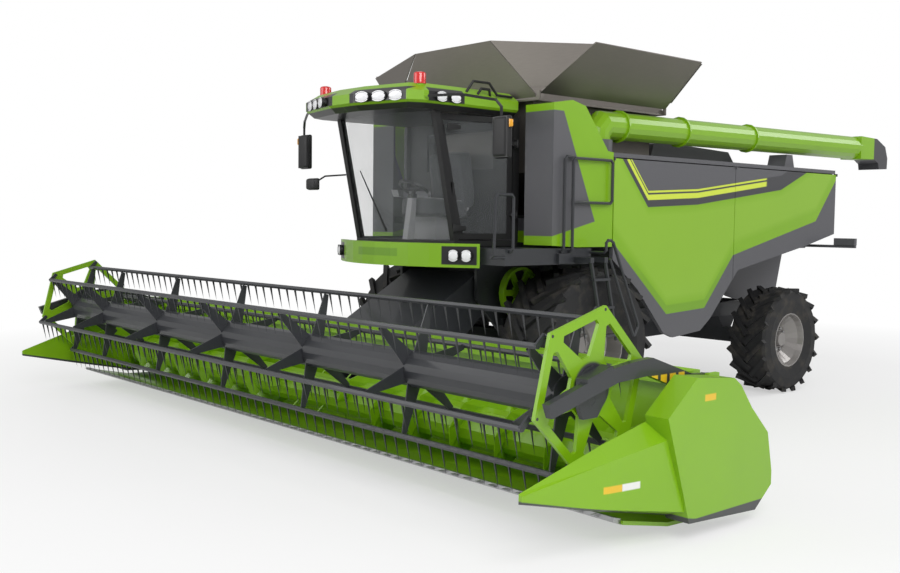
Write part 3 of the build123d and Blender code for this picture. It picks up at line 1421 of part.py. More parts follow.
CRANK_Y = 4470
CRANK_THICKNESS = 20
CRANK_PIN_R = 12
TINE_ROOT = 12
with BuildPart() as first_bar:
    bar_x, bar_z = reel_corner(0)
    crank_x, crank_z = bar_x + CRANK_OFFSET[0], bar_z + CRANK_OFFSET[1]
    cross_shaft((bar_x, bar_z), REEL_BAR_R, -REEL_BAR_HALF_LENGTH, REEL_BAR_HALF_LENGTH, facets=6)
    tines = []
    for tine in range(TINES_PER_BAR):
        y = TINE_PITCH * (tine - (TINES_PER_BAR - 1) / 2)
        root = [
            Vector(ahead(bar_x) - TINE_ROOT, y, bar_z),
            Vector(ahead(bar_x) + TINE_ROOT, y - 7, bar_z),
            Vector(ahead(bar_x) + TINE_ROOT, y + 7, bar_z),
        ]
        point = Vector(ahead(bar_x) - 45, y, bar_z - TINE_LENGTH)
        sides = [[root[k], root[(k + 1) % 3], point] for k in range(3)]
        tines.append(faceted_solid([root] + sides))
    add(tines)
    crank = [
        (bar_x + 22, bar_z + 10),
        (crank_x + 10, crank_z + 18),
        (crank_x - 18, crank_z - 10),
        (bar_x - 10, bar_z - 22),
    ]
    side_pair(crank, CRANK_Y, CRANK_Y + CRANK_THICKNESS)
    for sign in SIDES.values():
        ends = sorted((sign * CRANK_Y, sign * (REEL_PLATE_Y + REEL_PLATE_THICKNESS)))
        cross_shaft((crank_x, crank_z), CRANK_PIN_R, *ends, facets=12)

for index in range(REEL_BARS):
    bar_x, bar_z = reel_corner(index)
    first_x, first_z = reel_corner(0)
    with BuildPart() as tine_bar:
        add(first_bar.part.moved(Location((bar_x - first_x, 0, bar_z - first_z))))
    tine_bar.part.label = f"tine_bar_{index + 1}"
    export_step(tine_bar.part, f"parts/tine_bar_{index + 1}.step")

# A window between two spokes, as (out from the centre, across).
PLATE_WINDOW = [(228, 40), (420, 195), (460, 178), (460, -178), (420, -195), (228, -40)]
with BuildPart() as reel_end_plates:
    for sign in SIDES.values():
        start = sign * REEL_PLATE_Y if sign < 0 else REEL_PLATE_Y + REEL_PLATE_THICKNESS
        place = Plane((ahead(PLATE_CENTRE[0]), start, PLATE_CENTRE[1]), x_dir=(1, 0, 0), z_dir=(0, -1, 0))
        with BuildSketch(place) as plate:
            RegularPolygon(REEL_R + 30, REEL_BARS, rotation=REEL_PHASE)
            RegularPolygon(
                ECCENTRIC_R + RUN_GAP, ECCENTRIC_FACETS, major_radius=False, mode=Mode.SUBTRACT
            )
            for index in range(REEL_BARS):
                angle = REEL_PHASE + 360 / REEL_BARS * index
                with Locations(Location(Vector(REEL_R, 0).rotate(Axis.Z, angle))):
                    RegularPolygon(
                        CRANK_PIN_R + RUN_GAP, 12, major_radius=False, mode=Mode.SUBTRACT
                    )
                with BuildLine():
                    turned_window = [
                        Vector(x, y).rotate(Axis.Z, angle + 30) for x, y in PLATE_WINDOW
                    ]
                    Polyline(turned_window, close=True)
                make_face(mode=Mode.SUBTRACT)
        extrude(plate.sketch, amount=REEL_PLATE_THICKNESS)
reel_end_plates.part.label = "reel_end_plates"
export_step(reel_end_plates.part, "parts/reel_end_plates.step")
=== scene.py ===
# %% [markdown]
# # A combine harvester, dressed for its portrait
# The imported model already has every piece at its real size, so this lesson only adds looks:
# paint, glass, rubber, lamps, a seat, a wiper and small fittings. We load the frame first. Nothing
# that we add may grow the machine.

# %% Loading the frame
from math import cos, pi, radians, sin

import bmesh
import bpy
from mathutils import Matrix, Vector


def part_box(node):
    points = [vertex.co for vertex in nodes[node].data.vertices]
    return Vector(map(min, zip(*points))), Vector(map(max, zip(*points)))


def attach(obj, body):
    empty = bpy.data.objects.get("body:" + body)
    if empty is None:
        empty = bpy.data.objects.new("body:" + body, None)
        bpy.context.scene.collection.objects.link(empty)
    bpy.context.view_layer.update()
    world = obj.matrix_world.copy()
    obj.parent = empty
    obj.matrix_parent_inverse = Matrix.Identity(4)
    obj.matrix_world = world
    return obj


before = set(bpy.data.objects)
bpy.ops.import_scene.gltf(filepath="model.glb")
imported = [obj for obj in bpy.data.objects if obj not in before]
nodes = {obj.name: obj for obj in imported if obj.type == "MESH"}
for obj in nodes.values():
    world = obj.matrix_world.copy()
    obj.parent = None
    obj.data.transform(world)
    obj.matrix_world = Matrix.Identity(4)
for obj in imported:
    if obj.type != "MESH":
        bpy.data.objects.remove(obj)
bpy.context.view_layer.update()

# %% [markdown]
# ## Camera
# A long machine photographed from near its front corner needs a camera close to the header,
# at a standing person's height. The direction is given by a compass angle, a tilt and a slight
# roll, which is how one would note it on site.

# %% Camera
CAMERA_PLACE = Vector((10.524, 9.329, 2.340))
CAMERA_HEADING = radians(-131.505)
CAMERA_TILT = radians(-3.658)
CAMERA_ROLL = radians(0.668)
FOCAL_LENGTH = 41.12


def aim(heading, tilt, roll):
    """Rotation of a camera that looks along a heading and a tilt, turned about its own axis."""
    look = Vector((cos(heading) * cos(tilt), sin(heading) * cos(tilt), sin(tilt)))
    across = look.cross(Vector((0, 0, 1))).normalized()
    above = across.cross(look)
    turned_across = across * cos(roll) + above * sin(roll)
    turned_above = above * cos(roll) - across * sin(roll)
    return Matrix((turned_across, turned_above, -look)).transposed()


bpy.ops.object.camera_add(location=CAMERA_PLACE)
camera = bpy.context.object
camera.name = "portrait_camera"
camera.rotation_euler = aim(CAMERA_HEADING, CAMERA_TILT, CAMERA_ROLL).to_euler()
camera.data.lens = FOCAL_LENGTH
camera.data.sensor_width = 36
camera.data.clip_end = 400
bpy.context.scene.camera = camera
bpy.context.scene.view_settings.view_transform = "Standard"

# %% [markdown]
# ## Shader maths as plain expressions
# A node tree is a formula drawn as boxes. This small class lets us write the formula instead:
# adding two wrapped sockets adds a Math node. Colours go through Mix nodes.


# %% Socket helper
class Wire:
    """An output socket that makes Math nodes when it is used in an expression."""

    def __init__(self, maker, socket):
        self.maker = maker
        self.socket = socket

    def math(self, operation, *others):
        return self.maker.node("ShaderNodeMath", {"operation": operation}, self, *others)

    def __add__(self, other):
        return self.math("ADD", other)

    def __mul__(self, other):
        return self.math("MULTIPLY", other)

    def __sub__(self, other):
        return self.math("SUBTRACT", other)

    def __rsub__(self, other):
        return self.maker.node("ShaderNodeMath", {"operation": "SUBTRACT"}, other, self)

    def above(self, level, soft=0.004):
        """1 where the value is above a level, with a soft step."""
        return ((self - level) * (0.5 / soft) + 0.5).clamped()

    def clamped(self):
        return self.math("MAXIMUM", 0.0).math("MINIMUM", 1.0)


class Paint:
    """A material whose tree is written as expressions."""

    def __init__(self, name):
        self.material = bpy.data.materials.new(name)
        self.material.use_nodes = True
        self.tree = self.material.node_tree
        self.shader = self.tree.nodes["Principled BSDF"]

    def node(self, kind, settings, *values, output=0, **named):
        """Any node: its settings first, then the values or links of its sockets."""
        made = self.tree.nodes.new(kind)
        for key, value in settings.items():
            setattr(made, key, value)
        for place, value in list(enumerate(values)) + list(named.items()):
            if isinstance(place, str):
                place = place.replace("_", " ")
            self.plug(made.inputs[place], value)
        return Wire(self, made.outputs[output])

    def plug(self, socket, value):
        if isinstance(value, Wire):
            self.tree.links.new(value.socket, socket)
        else:
            socket.default_value = value

    def set(self, **values):
        """Values or links for the shader's own sockets."""
        for name, value in values.items():
            self.plug(self.shader.inputs[name.replace("_", " ")], value)
        return self

    def place(self):
        """Object coordinates as a vector wire."""
        return self.node("ShaderNodeTexCoord", {}, output="Object")

    def axes(self):
        """Object coordinates as three wires: ahead, left and up, in metres."""
        split = self.tree.nodes.new("ShaderNodeSeparateXYZ")
        self.plug(split.inputs[0], self.place())
        return [Wire(self, output) for output in split.outputs]

    def noise(self, scale, detail=3.0, roughness=0.55, place=None):
        return self.node(
            "ShaderNodeTexNoise",
            {},
            Vector=place or self.place(),
            Scale=scale,
            Detail=detail,
            Roughness=roughness,
        )

    def blend(self, share, first, second):
        """Mix of two colours."""
        made = self.tree.nodes.new("ShaderNodeMix")
        made.data_type = "RGBA"
        self.plug(made.inputs[0], share)
        self.plug(made.inputs[6], first)
        self.plug(made.inputs[7], second)
        return Wire(self, made.outputs[2])

    def ramp(self, value, low, high):
        """Linear step of a value from one level to another, for a mask."""
        return ((value - low) * (1 / (high - low))).clamped()

    def bump(self, height, distance, strength=1.0):
        normal = self.node(
            "ShaderNodeBump", {}, Strength=strength, Distance=distance, Height=height
        )
        return self.set(Normal=normal)


# %% [markdown]
# ## Colours and finishes
# Colours are linear values, and each kind of finish is one function. Real sprayed paint isn't
# one flat value: it has orange peel and slow changes of gloss, so every finish reads noise in
# Object coordinates.

# %% Palette
LIME = (0.215, 0.440, 0.006, 1)
# lime darkened as painted shade
LIME_PAINTED_SHADE = (0.150, 0.330, 0.006, 1)
# lime lightened as a painted highlight
LIME_PAINTED_HIGHLIGHT = (0.370, 0.600, 0.070, 1)
STRIPE = (0.640, 0.760, 0.060, 1)
CHARCOAL = (0.098, 0.098, 0.108, 1)
CHARCOAL_DEEP = (0.050, 0.050, 0.056, 1)
FRAME_DARK = (0.030, 0.032, 0.037, 1)
BLACK = (0.012, 0.012, 0.013, 1)
RUBBER = (0.018, 0.018, 0.019, 1)
RIM_SILVER = (0.290, 0.275, 0.265, 1)
BIN_STEEL = (0.235, 0.215, 0.195, 1)
BRIGHT_STEEL = (0.500, 0.500, 0.510, 1)
CAB_GREY = (0.330, 0.330, 0.345, 1)
DUST = (0.190, 0.165, 0.130, 1)


def scaled(colour, factor):
    return tuple(channel * factor for channel in colour[:3]) + (1,)


# %% [markdown]
# ### Sprayed paint
# One recipe serves the lime, charcoal and dark pieces: slow noise shifts the colour a little,
# finer noise gives the peel, and a clear coat, where there is one, gives the crisp highlights.


# %% Sprayed paint
PEEL_SCALE = 140.0
PEEL_DEPTH = 0.0006
PEEL_STRENGTH = 0.35
COAT_ROUGHNESS = 0.08


def orange_peel(paint):
    """The fine dimples that a spray gun leaves."""
    return paint.bump(paint.noise(PEEL_SCALE, 2.0), PEEL_DEPTH, PEEL_STRENGTH)


def sprayed(name, colour, roughness=0.34, coat=0.3, variation=0.06):
    paint = Paint(name)
    slow = paint.noise(1.7, 2.0)
    base = paint.blend(slow, scaled(colour, 1 - variation), scaled(colour, 1 + variation))
    paint.set(Base_Color=base, Roughness=slow * 0.10 + (roughness - 0.05))
    paint.set(Coat_Weight=coat, Coat_Roughness=COAT_ROUGHNESS, IOR=1.5)
    return orange_peel(paint)


lime_paint = sprayed("lime_paint", LIME)
charcoal_paint = sprayed("charcoal_paint", CHARCOAL, 0.42, 0.2)
dark_paint = sprayed("dark_frame_paint", FRAME_DARK, 0.42, 0.25, 0.12)
black_plastic = sprayed("black_plastic", BLACK, 0.48, 0.0, 0.15)


# %% [markdown]
# ### Painted side panels
# The long panels are lime with a dark window above and a grey hem below, with a painted
# highlight across their middle and painted shade just above the hem. The borders are
# straight lines in side view, so each is one linear expression of the place ahead and the
# height, and the largest or smallest of a few lines makes a bent border.


# %% Border lines
def line_height(ahead, start, end):
    """Height of the line through two points (ahead, up), at each place ahead."""
    slope = (end[1] - start[1]) / (end[0] - start[0])
    return (ahead - start[0]) * slope + start[1]


def highest(heights):
    result = heights[0]
    for height in heights[1:]:
        result = result.math("MAXIMUM", height)
    return result


WINDOW_EDGE = ((-3.21, 3.13), (-2.42, 2.82), (-0.47, 2.58), (0.54, 2.53), (0.97, 3.01))
HEM_REAR = ((-3.45, 2.41), (-1.29, 1.93))
HEM_KNEE = ((-1.29, 1.93), (-0.67, 1.26))
HEM_FLAT = ((-0.67, 1.26), (0.13, 1.22))
HEM_FRONT = ((0.13, 1.22), (1.18, 2.11))
REAR_HEM = ((-3.30, 2.30), (-3.94, 3.02))
STRIPES = ((0.085, 0.150, 0.95), (0.172, 0.196, 0.90))  # two heights, and the front end
STRIPE_REAR = -2.05
WINDOW_FRAME = 0.20  # width of the darker frame round the window


# %% Side panels
def side_panel_paint():
    paint = Paint("side_panel_paint")
    ahead, _, up = paint.axes()
    window = highest([line_height(ahead, a, b) for a, b in zip(WINDOW_EDGE, WINDOW_EDGE[1:])])
    rear = line_height(ahead, *HEM_REAR).math("MINIMUM", line_height(ahead, *HEM_KNEE))
    hem = highest([rear, line_height(ahead, *HEM_FLAT), line_height(ahead, *HEM_FRONT)])
    hem = highest([hem, line_height(ahead, *REAR_HEM)])
    in_window = (up - window).above(0.0)
    in_hem = (hem - up).above(0.0)
    slow = paint.noise(1.4, 2.0)
    base = paint.blend(slow, scaled(LIME, 0.95), scaled(LIME, 1.05))
    # Painted highlight: the lime turns paler in the middle of the panel, away from the window and
    # the hem.
    glow = (window - up).math("MINIMUM", (up - hem) - 0.12)
    base = paint.blend(glow.above(0.06, 0.05) * 0.28, base, LIME_PAINTED_HIGHLIGHT)
    # Painted shade: a darker lime band just above the hem, on the low part of the panel.
    painted_shade_above_hem = (0.11 - (up - hem)).above(0.0, 0.01) * (1.5 - up).above(-0.35, 0.2)
    base = paint.blend(painted_shade_above_hem * 0.7, base, LIME_PAINTED_SHADE)
    depth = up - window
    frame_edge = paint.blend(depth.above(WINDOW_FRAME, 0.006), CHARCOAL_DEEP, CHARCOAL)
    for low, high, forward in STRIPES:
        band = depth.above(low) * (high - depth).above(0.0) * (ahead - STRIPE_REAR).above(0.0, 0.02)
        frame_edge = paint.blend(band * (forward - ahead).above(0.0, 0.02), frame_edge, STRIPE)
    base = paint.blend(in_window, base, frame_edge)
    base = paint.blend(in_hem, base, CHARCOAL)
    paint.set(Base_Color=base, Roughness=slow * 0.08 + 0.26 + (in_window + in_hem) * 0.14)
    paint.set(Coat_Weight=0.3 - (in_window + in_hem).clamped() * 0.2, Coat_Roughness=COAT_ROUGHNESS)
    return orange_peel(paint)


# %% Front panels
CAB_SIDE_REAR = ((2.06, 3.56), (1.51, 2.35))
CAB_SIDE_LOW = ((1.51, 2.35), (2.19, 2.19))
CAB_SIDE_TOP = 3.56


def front_panel_paint():
    paint = Paint("front_panel_paint")
    ahead, _, up = paint.axes()
    rear_line = line_height(ahead, *CAB_SIDE_REAR)
    low_line = line_height(ahead, *CAB_SIDE_LOW)
    inside = (up - low_line).above(0.0) * (rear_line - up).above(0.0)
    inside = inside * (CAB_SIDE_TOP - up).above(0.0)
    slow = paint.noise(1.4, 2.0)
    base = paint.blend(slow, scaled(LIME, 0.95), scaled(LIME, 1.05))
    base = paint.blend(inside, base, CHARCOAL)
    paint.set(Base_Color=base, Roughness=slow * 0.08 + 0.26 + inside * 0.14)
    paint.set(Coat_Weight=0.3 - inside * 0.2, Coat_Roughness=COAT_ROUGHNESS)
    return orange_peel(paint)


# %% [markdown]
# ### Rubber, glass and metals
# Rubber is nearly black, with patches of field dust. Bare sheet steel gets fine streaks, by
# stretching the noise.


# %% Rubber and metals
def tyre_rubber():
    paint = Paint("tyre_rubber")
    grain = paint.noise(60.0, 4.0)
    dust = paint.ramp(paint.noise(6.0, 5.0), 0.50, 0.80)
    base = paint.blend(dust * 0.28, RUBBER, DUST)
    paint.set(Base_Color=base, Roughness=dust * 0.25 + 0.62, Specular_IOR_Level=0.35)
    return paint.bump(grain, 0.002, 0.5)


def streaked(name, colour, roughness, stretch, metallic=1.0):
    paint = Paint(name)
    place = paint.node("ShaderNodeMapping", {}, Vector=paint.place(), Scale=stretch)
    streak = paint.noise(9.0, 5.0, place=place)
    patch = paint.noise(2.3, 3.0)
    base = paint.blend(streak, scaled(colour, 0.82), scaled(colour, 1.12))
    base = paint.blend(patch * 0.35, base, scaled(colour, 0.7))
    paint.set(Base_Color=base, Roughness=streak * 0.16 + roughness, Metallic=metallic)
    return paint.bump(streak, 0.0008, 0.3)


def clear_glass(name, tint, density):
    paint = Paint(name)
    smear = paint.noise(3.0, 3.0)
    paint.set(Base_Color=tint, Roughness=smear * 0.03 + 0.02, Metallic=0.0)
    paint.set(Alpha=smear * 0.05 + density, Specular_IOR_Level=0.5, Coat_Weight=0.3)
    return paint


def lens(name, colour, glow):
    paint = Paint(name)
    pattern = paint.noise(90.0, 1.0)
    base = paint.blend(pattern, scaled(colour, 0.86), scaled(colour, 1.08))
    paint.set(Base_Color=base, Roughness=0.12, Coat_Weight=0.8, Emission_Color=colour)
    paint.set(Emission_Strength=glow)
    return paint.bump(pattern, 0.001, 0.4)


rubber = tyre_rubber()
rim_silver = sprayed("rim_silver", RIM_SILVER, 0.30, 0.3, 0.08)
rim_silver.set(Metallic=0.55)
bin_steel = streaked("bin_sheet_steel", BIN_STEEL, 0.38, (1, 1, 14), 0.75)
bright_steel = streaked("bright_sheet_steel", BRIGHT_STEEL, 0.26, (1, 18, 1))
cast_iron = sprayed("cast_iron_paint", FRAME_DARK, 0.6, 0.0, 0.25)
cab_glass = clear_glass("cab_glass", (0.30, 0.32, 0.33, 1), 0.09)
white_lens = lens("white_lens", (0.80, 0.80, 0.82, 1), 0.15)
amber_lens = lens("amber_lens", (0.80, 0.36, 0.02, 1), 0.10)
red_lens = lens("red_lens", (0.62, 0.02, 0.02, 1), 0.12)
mirror_glass = sprayed("mirror_glass", (0.6, 0.6, 0.62, 1), 0.05, 0.3, 0.02)
mirror_glass.set(Metallic=1.0)
side_paint = side_panel_paint()
front_paint = front_panel_paint()

# %% [markdown]
# ### Pieces with more than one colour
# Some castings and mouldings carry a second colour: a black visor in the green roof, a black
# lamp pod in the bumper, a dark spout. Masking tape and a second coat make it on the real
# machine. Here each taped area is a box, a disc or what lies under a line, and a mask blends
# the second coat in.


# %% Taped areas
def taped(name, first, areas, coat=0.3):
    """First coat all over, then (test, colour) areas; a test turns the axes into a mask."""
    paint = Paint(name)
    axes = paint.axes()
    slow = paint.noise(1.7, 2.0)
    base = paint.blend(slow, scaled(first, 0.94), scaled(first, 1.06))
    for test, colour in areas:
        base = paint.blend(test(*axes), base, colour)
    paint.set(Base_Color=base, Roughness=slow * 0.10 + 0.29, Coat_Weight=coat)
    paint.set(Coat_Roughness=COAT_ROUGHNESS)
    return orange_peel(paint)


def between(value, low, high):
    return (value - low).above(0.0) * (high - value).above(0.0)


def size_of(value):
    return value.math("ABSOLUTE")


def in_box(ahead_range=(-9, 9), side_range=(0, 9), up_range=(-1, 9)):
    """Mask of a box that is the same on the left and on the right side."""

    def test(ahead, left, up):
        mask = between(ahead, *ahead_range) * between(size_of(left), *side_range)
        return mask * between(up, *up_range)

    return test


def below_line(start, end, rise=0.0):
    """Mask of what lies under a line in side view."""
    return lambda ahead, left, up: (line_height(ahead, start, end) + rise - up).above(0.0)


def round_area(centre, radius):
    """Mask of a disc in side view."""

    def test(ahead, left, up):
        square = (ahead - centre[0]) * (ahead - centre[0]) + (up - centre[1]) * (up - centre[1])
        return (radius**2 - square).above(0.0)

    return test


# %% Zoned pieces
MARKER_YELLOW = (0.78, 0.50, 0.02, 1)
MARKER_WHITE = (0.80, 0.80, 0.78, 1)
BEACON_RED = (0.60, 0.02, 0.01, 1)
SPOUT_START = -5.31
VISOR_UP = (3.598, 3.742)
PLATE_MIDDLE = (4.947, 1.160)
PLATE_DISC_R = 0.19
PLATE_LENGTH = 0.075  # each of the blank yellow plates on a reel arm
zoned = {
    "unloader_tube": taped(
        "unloader_paint", LIME, [(in_box(ahead_range=(-9, SPOUT_START)), CHARCOAL_DEEP)]
    ),
    "cab_roof": taped(
        "roof_paint",
        LIME,
        [
            # underside, front corners' visors, sides' visors, mirror arms, beacons
            (in_box(up_range=(3.0, 3.575), side_range=(0, 1.05)), BLACK),
            (in_box((3.60, 4.00), (0.16, 0.93), VISOR_UP), BLACK),
            (in_box((3.00, 3.50), (0.95, 1.06), VISOR_UP), BLACK),
            (in_box(side_range=(1.06, 3)), BLACK),
            (in_box((3.40, 3.60), (0.80, 0.94), (3.792, 4)), BEACON_RED),
        ],
    ),
    "bumper": taped(
        "bumper_paint",
        LIME,
        [
            # lamp pods, and painted shade as a darker lime strip in the middle
            (in_box((2.96, 3.30), (0.90, 1.250), (1.865, 2.065)), BLACK),
            (in_box(side_range=(0, 0.36), up_range=(1.940, 2.030)), LIME_PAINTED_SHADE),
        ],
    ),
    "end_shields": taped(
        "end_shield_paint",
        LIME,
        [
            # lower edges of the divider and of the shield, then three blank markers
            (below_line((4.28, 0.160), (5.755, 0.478), 0.022), CHARCOAL_DEEP),
            (in_box((3.10, 4.28), (4, 6), (-1, 0.165)), CHARCOAL_DEEP),
            (in_box((4.93, 5.10), (4.77, 6), (0.470, 0.520)), MARKER_YELLOW),
            (in_box((4.76, 4.93), (4.77, 6), (0.470, 0.520)), MARKER_WHITE),
            (in_box((3.98, 4.12), (4.88, 6), (1.03, 1.08)), MARKER_YELLOW),
        ],
    ),
    "reel_arms": taped(
        "reel_arm_paint",
        FRAME_DARK,
        [
            (in_box((start, start + PLATE_LENGTH), (4.685, 6), (1.15, 1.215)), MARKER_YELLOW)
            for start in (4.02, 4.13, 4.24, 4.35)
        ],
    ),
    "reel_end_plates": taped(
        "reel_plate_paint", LIME, [(round_area(PLATE_MIDDLE, PLATE_DISC_R), CHARCOAL_DEEP)]
    ),
    "cab_interior": taped(
        "cab_trim_paint", CAB_GREY, [(in_box((2.79, 3.1), (0, 0.27), (2.6, 3)), BLACK)], 0.0
    ),
}
print("zoned finishes", len(zoned))

# %% [markdown]
# ## Painting the finished pieces
# A carried-over piece keeps its shape and only gets a better finish in its material slot.

# %% Painting the nodes
finish_of = {
    "main_frame": dark_paint,
    "front_axle": cast_iron,
    "rear_axle": cast_iron,
    "threshing_body": dark_paint,
    "engine": cast_iron,
    "engine_hood": charcoal_paint,
    "rear_hood": charcoal_paint,
    "front_panels": front_paint,
    "grain_tank": bin_steel,
    "unloader_tube": zoned["unloader_tube"],
    "cab_shell": black_plastic,
    "cab_door": black_plastic,
    "cab_door_glass": cab_glass,
    "cab_glass": cab_glass,
    "cab_roof": zoned["cab_roof"],
    "bumper": zoned["bumper"],
    "cab_interior": zoned["cab_interior"],
    "platform": dark_paint,
    "handrails": dark_paint,
    "drive_pulley": lime_paint,
    "feeder_house": dark_paint,
    "lift_barrels": dark_paint,
    "lift_rods": bright_steel,
    "header_frame": lime_paint,
    "header_floor": lime_paint,
    "cutterbar": bright_steel,
    "end_shields": zoned["end_shields"],
    "header_auger": lime_paint,
    "reel_arms": zoned["reel_arms"],
    "reel_bearings": dark_paint,
    "reel_rotor": dark_paint,
    "reel_end_plates": zoned["reel_end_plates"],
}
for name in nodes:
    if name.endswith("_tyre"):
        finish_of[name] = rubber
    elif name.endswith("_rim"):
        finish_of[name] = rim_silver
    elif name.endswith("_panel"):
        finish_of[name] = side_paint
    elif name.endswith("_flap") or name.endswith("_wing"):
        finish_of[name] = bin_steel
    elif name.endswith("_knuckle"):
        finish_of[name] = cast_iron
    elif name.startswith("tine_bar"):
        finish_of[name] = dark_paint
for name, paint in finish_of.items():
    mesh = nodes[name].data
    mesh.materials.clear()
    mesh.materials.append(paint.material)
print("painted", len(finish_of), "of", len(nodes), "nodes")

# %% [markdown]
# ## Small pieces by hand
# Every small fitting starts as a primitive, is cut and pushed in edit mode, and ends with its
# place inside its mesh. A few helpers keep that short: they clear the selection, mirror a
# place, start a board, pick or shrink faces, round edges, fill the material slots, join parts
# and finish a piece.


# %% Helpers for fittings
def clear_selection():
    bpy.ops.object.select_all(action="DESELECT")


def on_side(place, side):
    """A place or direction given for the left side, or its mirror image when side is -1."""
    return Vector((place[0], side * place[1], place[2]))


def board(size):
    """A cube stretched to a size, alone in the selection, round the origin."""
    clear_selection()
    bpy.ops.mesh.primitive_cube_add(size=1)
    piece = bpy.context.object
    piece.scale = size
    bpy.ops.object.transform_apply(location=False, rotation=False, scale=True)
    return piece


def pick(piece, wanted):
    """Edit mode, with only the faces selected whose centre and normal pass a test."""
    bpy.ops.object.mode_set(mode="EDIT")
    bpy.ops.mesh.select_mode(type="FACE")
    bpy.ops.mesh.select_all(action="DESELECT")
    mesh = bmesh.from_edit_mesh(piece.data)
    for face in mesh.faces:
        face.select_set(wanted(face.calc_center_median(), face.normal))
    bmesh.update_edit_mesh(piece.data)


def tapered(piece, wanted, factors):
    """Shrinks the faces that a test picks, so that the piece narrows towards them."""
    pick(piece, wanted)
    bpy.ops.transform.resize(value=factors)
    bpy.ops.object.mode_set(mode="OBJECT")


def rounded(piece, width, segments=3, angle=40):
    """Bevels the sharp edges for good."""
    bevel = piece.modifiers.new("rounding", "BEVEL")
    bevel.width = width
    bevel.segments = segments
    bevel.limit_method = "ANGLE"
    bevel.angle_limit = radians(angle)
    bpy.context.view_layer.objects.active = piece
    bpy.ops.object.modifier_apply(modifier="rounding")


def painted(piece, *paints):
    """Material slots in the order of the faces' material numbers."""
    for paint in paints:
        piece.data.materials.append(paint.material)


def finished(piece, name, body, *paints, smooth=35):
    """Names and paints a piece, puts its place into its mesh and lets it ride a body."""
    clear_selection()
    piece.select_set(True)
    bpy.context.view_layer.objects.active = piece
    bpy.ops.object.transform_apply(location=True, rotation=True, scale=True)
    bpy.ops.object.shade_smooth_by_angle(angle=radians(smooth))
    piece.name = name
    painted(piece, *paints)
    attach(piece, body)
    return piece


def joined(parts):
    """Several pieces made one mesh."""
    clear_selection()
    for part in parts:
        part.select_set(True)
    bpy.context.view_layer.objects.active = parts[0]
    bpy.ops.object.join()
    return parts[0]


# %% [markdown]
# ### Work lamps
# A work lamp is a black pot with a rim and a bulging lens. It could be turned from a
# profile, but an oval one is quicker from a short cylinder: its front face is inset for the
# rim, sunk, and raised again in a smaller ring for the lens.


# %% Lamps
LAMP_DEPTH = 0.036
RIM_STEP = 0.009
LENS_GAP = 0.003
LENS_SLOPE = 0.014
LENS_SINK = 0.008
LENS_RISE = 0.006
LENS_BULGE = 0.008


def lamp(place, facing, half_width, half_height):
    """An oval lamp in a pot, with the lens in its second material."""
    clear_selection()
    bpy.ops.mesh.primitive_cylinder_add(vertices=32, radius=1, depth=LAMP_DEPTH)
    piece = bpy.context.object
    piece.scale = (half_width, half_height, 1)
    bpy.ops.object.transform_apply(location=False, rotation=False, scale=True)
    pick(piece, lambda middle, normal: normal.z > 0.9)
    bpy.ops.mesh.inset(thickness=RIM_STEP)
    bpy.ops.mesh.extrude_region_move(TRANSFORM_OT_translate={"value": (0, 0, -LENS_SINK)})
    bpy.ops.mesh.inset(thickness=LENS_GAP)
    bpy.ops.mesh.extrude_region_move(TRANSFORM_OT_translate={"value": (0, 0, LENS_RISE)})
    bpy.ops.mesh.inset(thickness=LENS_SLOPE)
    bpy.ops.transform.translate(value=(0, 0, LENS_BULGE))
    bpy.ops.object.mode_set(mode="OBJECT")
    painted(piece, black_plastic, white_lens)
    for face in piece.data.polygons:
        wide = max(abs(piece.data.vertices[k].co.x) for k in face.vertices)
        if face.normal.z > 0.15 and wide < half_width - RIM_STEP - 0.001:
            face.material_index = 1
    outward = Vector(facing).normalized()
    across = Vector((0, 0, 1)).cross(outward)
    above = outward.cross(across)
    piece.rotation_euler = Matrix((across, above, outward)).transposed().to_euler()
    piece.location = Vector(place)
    return piece


VISOR_MIDDLE = (3.815, 0.585, 3.650)
VISOR_FACING = (0.948, 0.318, 0)
VISOR_ALONG = (-0.318, 0.948)  # across the facing, along the visor
VISOR_LAMP_STEP = 0.215
VISOR_LAMP_STANDING = 0.010
VISOR_LAMP = (0.095, 0.057)  # half width and half height
SIDE_LAMP_PLACES = ((3.340, 1.036, 3.650), (3.140, 1.036, 3.650))
SIDE_LAMP = (0.081, 0.054)
BUMPER_LAMP_PLACES = ((3.132, 1.035, 1.965), (3.060, 1.165, 1.965))
BUMPER_FACING = (0.87, 0.49, 0)
BUMPER_LAMP_STANDING = 0.018
BUMPER_LAMP_R = 0.064
lamps = []
for side in (1, -1):
    outward = on_side(VISOR_FACING, side)
    along = Vector((side * VISOR_ALONG[0], VISOR_ALONG[1], 0))
    for step in (-VISOR_LAMP_STEP, 0, VISOR_LAMP_STEP):
        place = on_side(VISOR_MIDDLE, side) + along * step + outward * VISOR_LAMP_STANDING
        lamps.append(lamp(place, outward, *VISOR_LAMP))
    for place in SIDE_LAMP_PLACES:
        lamps.append(lamp(on_side(place, side), (0, side, 0), *SIDE_LAMP))
    outward = on_side(BUMPER_FACING, side)
    for place in BUMPER_LAMP_PLACES:
        place = on_side(place, side) + outward * BUMPER_LAMP_STANDING
        lamps.append(lamp(place, outward, BUMPER_LAMP_R, BUMPER_LAMP_R))
finished(joined(lamps), "work_lamps", "chassis")
print("work lamps", len(lamps))

# %% [markdown]
# ### Mirrors and beacons
# A truck mirror is a deep rounded shell with a flat glass set into its back. A cube with its
# edges bevelled makes the shell, and its rear face inset and pushed in makes the frame. The
# beacons are low domes: a cylinder whose top is raised and drawn in, in two steps.

